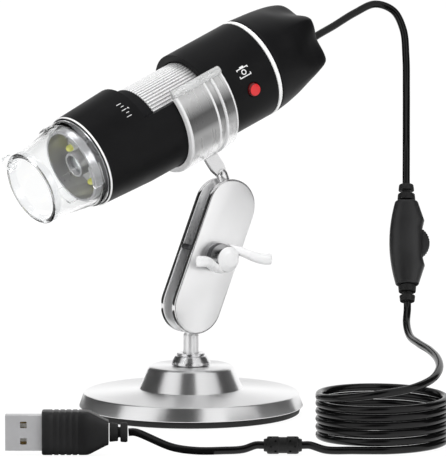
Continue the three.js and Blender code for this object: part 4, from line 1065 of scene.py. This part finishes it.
# clear nose cap with its lugs and pull tab
nose = {
    "profile": [
        (11.7, -22.2, 0.3), (13.3, -22.2, 0.4), (13.3, -19.6, 0.3), (12.9, -19.2, 0.3), (15.7, -2.6, 0.3),
        (16.2, -2.2, 0.3), (16.2, -0.35, 0.2), (15.2, -0.35), (15.2, 3.5), (14.2, 3.5), (14.2, -1.0, 0.3),
        (14.5, -2.6, 0.3), (11.7, -19.2, 0.4),
    ],
    "sides": 128,
    "rimStart": -19,
    "lugAngles": (35, 155, 275),
    "lugReach": 15,  # degrees to each side
    "lugSteps": 8,
    "lugFrom": -6.6,
    "lugTo": -2.3,
    "lugInner": 15.8,
    "lugSlope": 0.17,
    "lugOuter": 16.2,
    "lugEdge": 0.3,
    "tabAngle": -115,
    "tab": [(11.6, -1.75), (14.6, -1.75), (16.5, -1.2, 0.6), (16.5, 1.2, 0.6), (14.6, 1.75), (11.6, 1.75)],
    "tabFrom": -22.1,
    "tabTo": -18.6,
    "tabEdge": 0.25,
    "tabRoot": 14,
}


def lugRings():
    low, high, edge = nose["lugFrom"], nose["lugTo"], nose["lugEdge"]
    rings = []
    for z, inset in ((low, edge), (low + edge, 0), (high, 0)):
        inner = nose["lugInner"] + nose["lugSlope"] * (z - high)
        reach = math.radians(nose["lugReach"] * (1 - inset / 6))
        arc = [reach * k / nose["lugSteps"] for k in range(-nose["lugSteps"], nose["lugSteps"] + 1)]
        ring = [polar(nose["lugOuter"] - inset, turn, z) for turn in arc]
        rings.append(ring + [polar(inner, turn, z) for turn in reversed(arc)])
    return rings


def tabRings():
    low, high, edge = nose["tabFrom"], nose["tabTo"], nose["tabEdge"]
    outline = rounded(nose["tab"], 4, True)
    rings = []
    for z, inset in ((low, edge), (low + edge, 0), (high - edge, 0), (high, edge)):
        rings.append([(x - inset if x > nose["tabRoot"] else x, y * (1 - inset / 2), z) for x, y in outline])
    return rings


def makeNoseCap():
    profile = rounded(nose["profile"], 4, True)
    profile.append(profile[0])
    cap = turnedPiece("noseCap", profile, "capClear", "scope", scopeFrame, nose["sides"], sharp=30)
    cap.visible_shadow = False
    # the ring round its open end is moulded thicker and hazier
    paintFaces(cap, "capRim", lambda centre, normal: centre.z < nose["rimStart"])
    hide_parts("clear_cap")
    # the lugs that lock the cap to the barrel
    for i, degrees in enumerate(nose["lugAngles"]):
        place = scopeFrame @ turnZ(degrees)
        lug = loftedPiece("capLug" + str(i + 1), lugRings(), "capClear", "scope", place, sharp=30)
        lug.visible_shadow = False
    place = scopeFrame @ turnZ(nose["tabAngle"])
    loftedPiece("pullTab", tabRings(), "capClear", "scope", place, sharp=30)


# white bodies of the lamps on the ring board
lampBody = {
    "count": 8,
    "inner": 8.3,
    "outer": 11.7,
    "halfWidth": 1.7,
    "heights": (4.12, 4.36),
}


def makeLampBodies():
    outline = bar(lampBody["inner"], -lampBody["halfWidth"], lampBody["outer"], lampBody["halfWidth"])
    turns = [turnZ(360 * i / lampBody["count"]) for i in range(lampBody["count"])]
    boxes = boxRow(turns, outline, lampBody["heights"])
    bodies = addPiece("lampBodies", *boxes, "lightWhite", "scope", scopeFrame, sharp=30)


makeNoseCap()
makeLampBodies()
print("nose cap made")


# control on the cord: two covers, dial, and beaded reliefs
control = {
    "halfLength": 15.5,
    "width": 12.3,
    "endWidth": 7.9,
    "depth": 8.6,
    "endDepth": 6.2,
    "power": 2.6,
    "arcSteps": 30,
    "flatSteps": 6,
    "gap": 0.12,
    "even": 0.93,  # share of the half length up to which the rings are evenly spaced,
    "evenSteps": 11,  # in so many steps to each side
    "ends": [(0.965, 0), (0.985, 0.15), (1, 0.5)],  # beyond it, share and inset
    # on the dial's side: distance from the middle, half width
    "dialSide": [(0, 5.55), (5.4, 5.55), (8.3, 6.25), (15.5, 3.95)],
    "dialPlace": 1.75,
    "dialRadius": 6.3,
    "dialEdge": ((-1.3, 0.35), (-1.05, 0.06), (-0.9, 0), (0.9, 0), (1.05, 0.06), (1.3, 0.35)),
    "slotRadius": 6.75,
    "slotHalf": 1.65,
    "notches": 40,
    "notchDepth": 0.16,
    "relief": [
        (0, 13.1), (1.9, 13.1), (1.9, 15.8), (3.2, 15.8, 0.3), (3.0, 18.1, 0.2), (1.45, 18.15, 0.2),
        (1.45, 19.4, 0.2), (2.8, 19.45, 0.2), (2.55, 21.6, 0.3), (1.2, 21.6), (0, 21.6),
    ],
}


def dialSideWidth(distance):
    points = control["dialSide"]
    for (start, first), (end, last) in zip(points, points[1:]):
        if distance <= end:
            return first + (last - first) * (distance - start) / (end - start)
    return points[-1][1]


def coverRing(share, side, inset):
    gap, power, height = control["gap"], control["power"], share * control["halfLength"]

    def crowned(end, middle):
        return (end + (middle - end) * (1 - share**2)) / 2 - inset

    halfWidth = crowned(control["endWidth"], control["width"])
    halfDepth = crowned(control["endDepth"], control["depth"])
    dialWidth = dialSideWidth(abs(height)) - inset
    flat = (1 - (gap / halfDepth) ** power) ** (1 / power)
    edge, dialEdge = halfWidth * flat, dialWidth * flat
    arcSteps, flatSteps = control["arcSteps"], control["flatSteps"]
    ring = []
    for k in range(arcSteps + 1):
        c, s = polar(1, math.pi * k / arcSteps)
        width = dialWidth if c > 0 else halfWidth
        r = (abs(c / width) ** power + abs(s / halfDepth) ** power) ** (-1 / power)
        x, y = r * c, r * s
        if y < gap:
            x, y = (dialEdge if c > 0 else -edge), gap
        ring.append((x, side * y, height))
    for k in range(1, flatSteps):
        ring.append((-edge + (edge + dialEdge) * k / flatSteps, side * gap, height))
    return ring


def dialRings():
    outline = []
    for i in range(4 * control["notches"]):
        radius = control["dialRadius"] - (control["notchDepth"] if i % 4 > 1 else 0)
        outline.append((radius, math.pi * (i + 0.5) / (2 * control["notches"])))
    return [[polar(r - inset, turn, depth) for r, turn in outline] for depth, inset in control["dialEdge"]]


def makeControl():
    # rings evenly spaced along the middle, at the bends of the dial's side, and close at the ends
    steps = control["evenSteps"]
    middle = [control["even"] * i / steps for i in range(-steps, steps + 1)]
    for distance, width in control["dialSide"][1:3]:
        middle += [-distance / control["halfLength"], distance / control["halfLength"]]
    shares = [(-share, inset) for share, inset in reversed(control["ends"])]
    shares += [(share, 0) for share in sorted(middle)] + control["ends"]
    place = controlFrame @ shift(control["dialPlace"], 0, 0) @ turnX(90)
    for name, node, side in (("controlFront", "control_front", -1), ("controlBack", "control_back", 1)):
        rings = [coverRing(share, side, inset) for share, inset in shares]
        cover = loftedPiece(name, rings, "controlBlack", "scope", controlFrame, sharp=34)
        cutAway(cover, rodCutter(control["slotRadius"], 2 * control["slotHalf"], place))
        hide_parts(node)
    dial = loftedPiece("thumbDial", dialRings(), "dialBlack", "dial", place, sharp=34)
    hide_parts("control_dial")
    relief = rounded(control["relief"], 4)
    for end, turn in (("Top", 0), ("Bottom", 180)):
        place = controlFrame @ turnX(turn)
        piece = turnedPiece("relief" + end, relief, "reliefRubber", "scope", place, sides=48)
        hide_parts("control_relief_" + end.lower())


makeControl()
print("control made")


# ferrite core, with a round pit for every dot round its two bands
ferrite = {
    "profile": [
        (0, -6.45), (2.1, -6.45, 0.2), (2.3, -5.4, 0.1), (2.8, -5.35, 0.3), (3.0, -4.7, 0.3),
        (3.0, -1.6, 0.2), (2.75, -1.3, 0.2), (2.75, 1.3, 0.2), (3.0, 1.6, 0.2), (3.0, 4.7, 0.3),
        (2.8, 5.35, 0.3), (2.3, 5.4, 0.1), (2.1, 6.45, 0.2), (0, 6.45),
    ],
    "bandRadius": 3.0,
    "pits": 10,
    "pitRadius": 0.42,
    "pitDepth": 0.5,
    "pitSides": 16,
    "pitPlaces": (2.5, 4.1),
}


def makeFerrite():
    place = shift(*cordPlan["ferrite"]) @ turnY(90)
    piece = turnedPiece("ferriteCore", rounded(ferrite["profile"], 6), "coreBlack", "root", place, sides=64)
    build = bmesh.new()
    for k in range(ferrite["pits"]):
        turn = turnZ(360 * (k + 0.5) / ferrite["pits"])
        for end in (-1, 1):
            spot = turn @ shift(ferrite["bandRadius"], 0, end * ferrite["pitPlaces"][k % 2]) @ turnY(90)
            addRod(build, ferrite["pitRadius"], 2 * ferrite["pitDepth"], ferrite["pitSides"], spot)
    cutAway(piece, bareObject("pitCutter", build, place))
    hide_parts("ferrite_core")


# plug: grip with fine ribs for the fingers, relief and contacts
plug = {
    # station, half width, half thickness
    "grip": [
        (6.4, 3.9, 2.9), (6.6, 4.2, 3.2), (7.2, 4.35, 3.35), (12.5, 7.1, 3.85), (13.3, 7.4, 3.95),
        (14.4, 7.5, 4.0), (28.3, 7.5, 4.0), (28.7, 7.35, 3.85), (28.9, 7.05, 3.55),
    ],
    "gripPower": 6,
    "gripSides": 72,
    "ribs": 5,
    "ribStart": 16.2,
    "ribPitch": 2.1,
    "ribBroad": (7.5, 4.0),
    "ribShallow": 0.4,  # its share of the inset on the flat sides
    "rib": ((0, 0), (0.25, 0.22), (0.65, 0.22), (0.9, 0)),  # station from its start, inset
    "relief": [
        (0, 0), (3.2, 0, 0.3), (3.4, 0.5, 0.3), (3.3, 2.4, 0.4), (1.8, 2.45, 0.15), (1.8, 3.15, 0.15),
        (3.0, 3.2, 0.3), (3.3, 6.1, 0.3), (0, 6.1),
    ],
    "contacts": (-3.6, -1.2, 1.2, 3.6),
    "contactHalf": 0.5,
    "contactFaces": (-0.42, -0.3),
    "contactEnds": (30.5, 39.9),
}


def makePlug():
    rows = list(plug["grip"])
    broad, thick = plug["ribBroad"]
    for k in range(plug["ribs"]):
        start = plug["ribStart"] + plug["ribPitch"] * k
        for further, inset in plug["rib"]:
            rows.append((start + further, broad - inset, thick - inset * plug["ribShallow"]))
    rings = [
        ovalRing(halfWidth, halfDepth, station, plug["gripPower"], plug["gripSides"])
        for station, halfWidth, halfDepth in sorted(rows)
    ]
    grip = loftedPiece("plugGrip", rings, "controlBlack", "root", plugFrame, sharp=30)
    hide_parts("plug_grip")
    profile = rounded(plug["relief"], 4)
    relief = turnedPiece("plugRelief", profile, "reliefRubber", "root", plugFrame, sides=48)
    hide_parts("plug_relief")
    low, high = plug["contactFaces"]
    outline = bar(-plug["contactHalf"], low, plug["contactHalf"], high)
    boxes = boxRow([Matrix.Translation((x, 0, 0)) for x in plug["contacts"]], outline, plug["contactEnds"])
    addPiece("plugContacts", *boxes, "contactGold", "root", plugFrame)


makeFerrite()
makePlug()
print("plug made")


# the parts whose shape comes straight from the frame: finish, sharp angle, softened edge
carried = {
    "base_weight": ("darkIron", 35, 0), "post_nut": ("darkIron", 35, 0),
    "spacer_tab": ("darkIron", 30, 0.2), "clamp_screw": ("screwSteel", 35, 0.15),
    "clamp_washer": ("screwSteel", 35, 0.1), "upper_ball": ("postSteel", 40, 0),
    "clip_tongue": ("strapChrome", 30, 0), "housing": ("barrelBlack", 30, 0),
    "index_ring": ("ringBlack", 30, 0), "focus_wheel": ("wheelSilver", 20, 0),
    "lens_carriage": ("carriageGrey", 30, 0), "lens_barrel": ("carriageGrey", 30, 0),
    "objective_lens": ("lensGlass", 40, 0), "reflector_cup": ("cupGrey", 30, 0),
    "led_board": ("boardWhite", 30, 0), "sensor_board": ("circuitGreen", 30, 0),
    "image_sensor": ("chipBlack", 30, 0), "main_board": ("circuitGreen", 30, 0),
    "tact_switch": ("cupGrey", 30, 0), "cord_gland": ("reliefRubber", 35, 0),
    "control_screw": ("screwSteel", 30, 0), "plug_shell": ("plugSteel", 30, 0.18),
    "plug_tongue": ("tongueWhite", 30, 0),
    **{"led_" + str(number): ("lampYellow", 40, 0) for number in range(1, 9)},
}
carriedWeld = 0.000002  # metres
carriedBend = 40  # edges sharper than this many degrees are softened


def dressCarried():
    for name, (material, sharp, edge) in carried.items():
        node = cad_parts[name]
        mesh = node.data
        mesh.materials.clear()
        mesh.materials.append(finish[material])
        for extra in ("custom_normal", "sharp_face", "sharp_edge"):
            if extra in mesh.attributes:
                mesh.attributes.remove(mesh.attributes[extra])
        setAll(node.modifiers.new("join", "WELD"), merge_threshold=carriedWeld)
        if edge:
            soften = node.modifiers.new("soften", "BEVEL")
            bend = math.radians(carriedBend)
            setAll(soften, width=edge * mm, segments=3, limit_method="ANGLE", angle_limit=bend)
        mesh.polygons.foreach_set("use_smooth", [True] * len(mesh.polygons))
        setAll(node.modifiers.new("crease", "EDGE_SPLIT"), split_angle=math.radians(sharp))


dressCarried()
print("carried parts dressed:", len(carried))


# studio: white floor and surround, soft lamps, dark cards that the metal reflects, all in metres
studio = {
    "worldOnObject": 0.5,
    "worldSeen": 1.0,
    "overhead": 0.8,
    "floorShadow": 0.1,
    "floorGlow": 1.05,
    "floorHalf": 6,
    "floorLevel": -0.0003,
    "matLevel": -0.0002,
    "matSteps": 8,
    # name, place, aimed at, size, watts
    "lamps": [
        ("keyLamp", (-0.9, -1.3, 1.5), (0.0, 0.0, 0.06), 0.9, 22),
        ("fillLamp", (1.3, -1.0, 0.8), (0.0, 0.0, 0.06), 0.8, 9),
        ("topLamp", (0.1, 0.5, 1.6), (0.0, 0.0, 0.05), 0.8, 12),
    ],
    # direction round Z in degrees from +X, distance, width, low, high, grey
    "cards": [
        (151, 0.9, 1.44, -0.02, 2.4, 0.02),
        (256, 1.0, 0.78, -0.02, 0.5, 0.02),
        (262, 1.0, 0.78, 0.3, 2.4, 0.02),
        (15, 0.9, 1.05, -0.02, 2.4, 0.02),
    ],
    # the same on the floor: from and to round Z in degrees, inner and outer reach, grey
    "mats": [
        (122, 189, 0.045, 0.16, 0.02),
        (237, 275, 0.045, 0.7, 0.03),
        (350, 404, 0.045, 0.16, 0.02),
    ],
}


def aimedLamp(name, place, target, size, watts):
    data = bpy.data.lights.new(name, "AREA")
    setAll(data, shape="RECTANGLE", size=size, size_y=size, energy=watts)
    lamp = bpy.data.objects.new(name, data)
    scene.collection.objects.link(lamp)
    lamp.location = place
    lamp.visible_glossy = False
    lamp.rotation_euler = (Vector(target) - Vector(place)).to_track_quat("-Z", "Y").to_euler()


def seenRays(tree):
    # 1 for camera, glossy and transmission rays, 0 for the light that falls on things
    rays = addNode(tree, "LightPath").outputs
    level = rays["Is Camera Ray"]
    for kind in ("Is Glossy Ray", "Is Transmission Ray"):
        level = addNode(tree, "Math", {"operation": "MAXIMUM"}, (level, rays[kind])).outputs["Value"]
    return level


def flatPlane(name, corners, material):
    mesh = bpy.data.meshes.new(name)
    mesh.from_pydata(corners, [], [tuple(range(len(corners)))])
    mesh.materials.append(material)
    piece = linked(name, mesh, Matrix())
    return piece


def darkCard(name, corners, grey):
    # paper that only the shine of things shows
    paper = mouldedPlastic(name + "Paper", (grey,) * 3, (grey * 1.1,) * 3, (0.8, 0.9))
    card = flatPlane(name, corners, paper)
    for rays in ("camera", "diffuse", "shadow", "transmission"):
        setattr(card, "visible_" + rays, False)


def makeWorld():
    world = bpy.data.worlds.new("studioWorld")
    scene.world = world
    world.use_nodes = True
    tree = world.node_tree
    # what the metal sees dims towards straight overhead, as in a tent lit from its sides
    height = split(tree, addNode(tree, "TexCoord").outputs["Generated"])["Z"]
    seen = spread(tree, height, studio["worldSeen"], studio["overhead"], 0.25, 0.75)
    cameraRay = addNode(tree, "LightPath").outputs["Is Camera Ray"]
    kind = {"data_type": "FLOAT"}
    shown = addNode(tree, "Mix", kind, Factor=cameraRay, A=seen, B=studio["worldSeen"]).outputs["Result"]
    level = addNode(tree, "Mix", kind, Factor=seenRays(tree), A=studio["worldOnObject"], B=shown)
    setInputs(tree.nodes["Background"], Color=(1, 1, 1, 1), Strength=level.outputs["Result"])


def makeFloor():
    floor, tree, shader = newMaterial("floorWhite", Base_Color=(0.9, 0.9, 0.9, 1), Roughness=0.9)
    glow = addNode(tree, "Emission", Color=(1, 1, 1, 1), Strength=studio["floorGlow"])
    factor = spread(tree, seenRays(tree), 0.0, 1 - studio["floorShadow"], 0.0, 1.0)
    mix = addNode(
        tree, "MixShader", None, (factor, shader.outputs["BSDF"], glow.outputs["Emission"])
    )
    setInputs(tree.nodes["Material Output"], Surface=mix.outputs["Shader"])
    half = studio["floorHalf"]
    flatPlane("floor", [(x, y, studio["floorLevel"]) for x, y in bar(-half, -half, half, half)], floor)


def makeCards():
    for i, (degrees, distance, width, low, high, grey) in enumerate(studio["cards"]):
        outline = bar(-width / 2, low, width / 2, high)
        corners = [turnZ(degrees) @ Vector((distance, y, z)) for y, z in outline]
        darkCard("card" + str(i + 1), corners, grey)
    steps = studio["matSteps"]
    for i, (first, last, inner, outer, grey) in enumerate(studio["mats"]):
        turns = [math.radians(first + (last - first) * k / steps) for k in range(steps + 1)]
        corners = [polar(inner, turn, studio["matLevel"]) for turn in turns]
        corners += [polar(outer, turn, studio["matLevel"]) for turn in reversed(turns)]
        darkCard("mat" + str(i + 1), corners, grey)


makeWorld()
makeFloor()
makeCards()
for lamp in studio["lamps"]:
    aimedLamp(*lamp)
print("studio made")
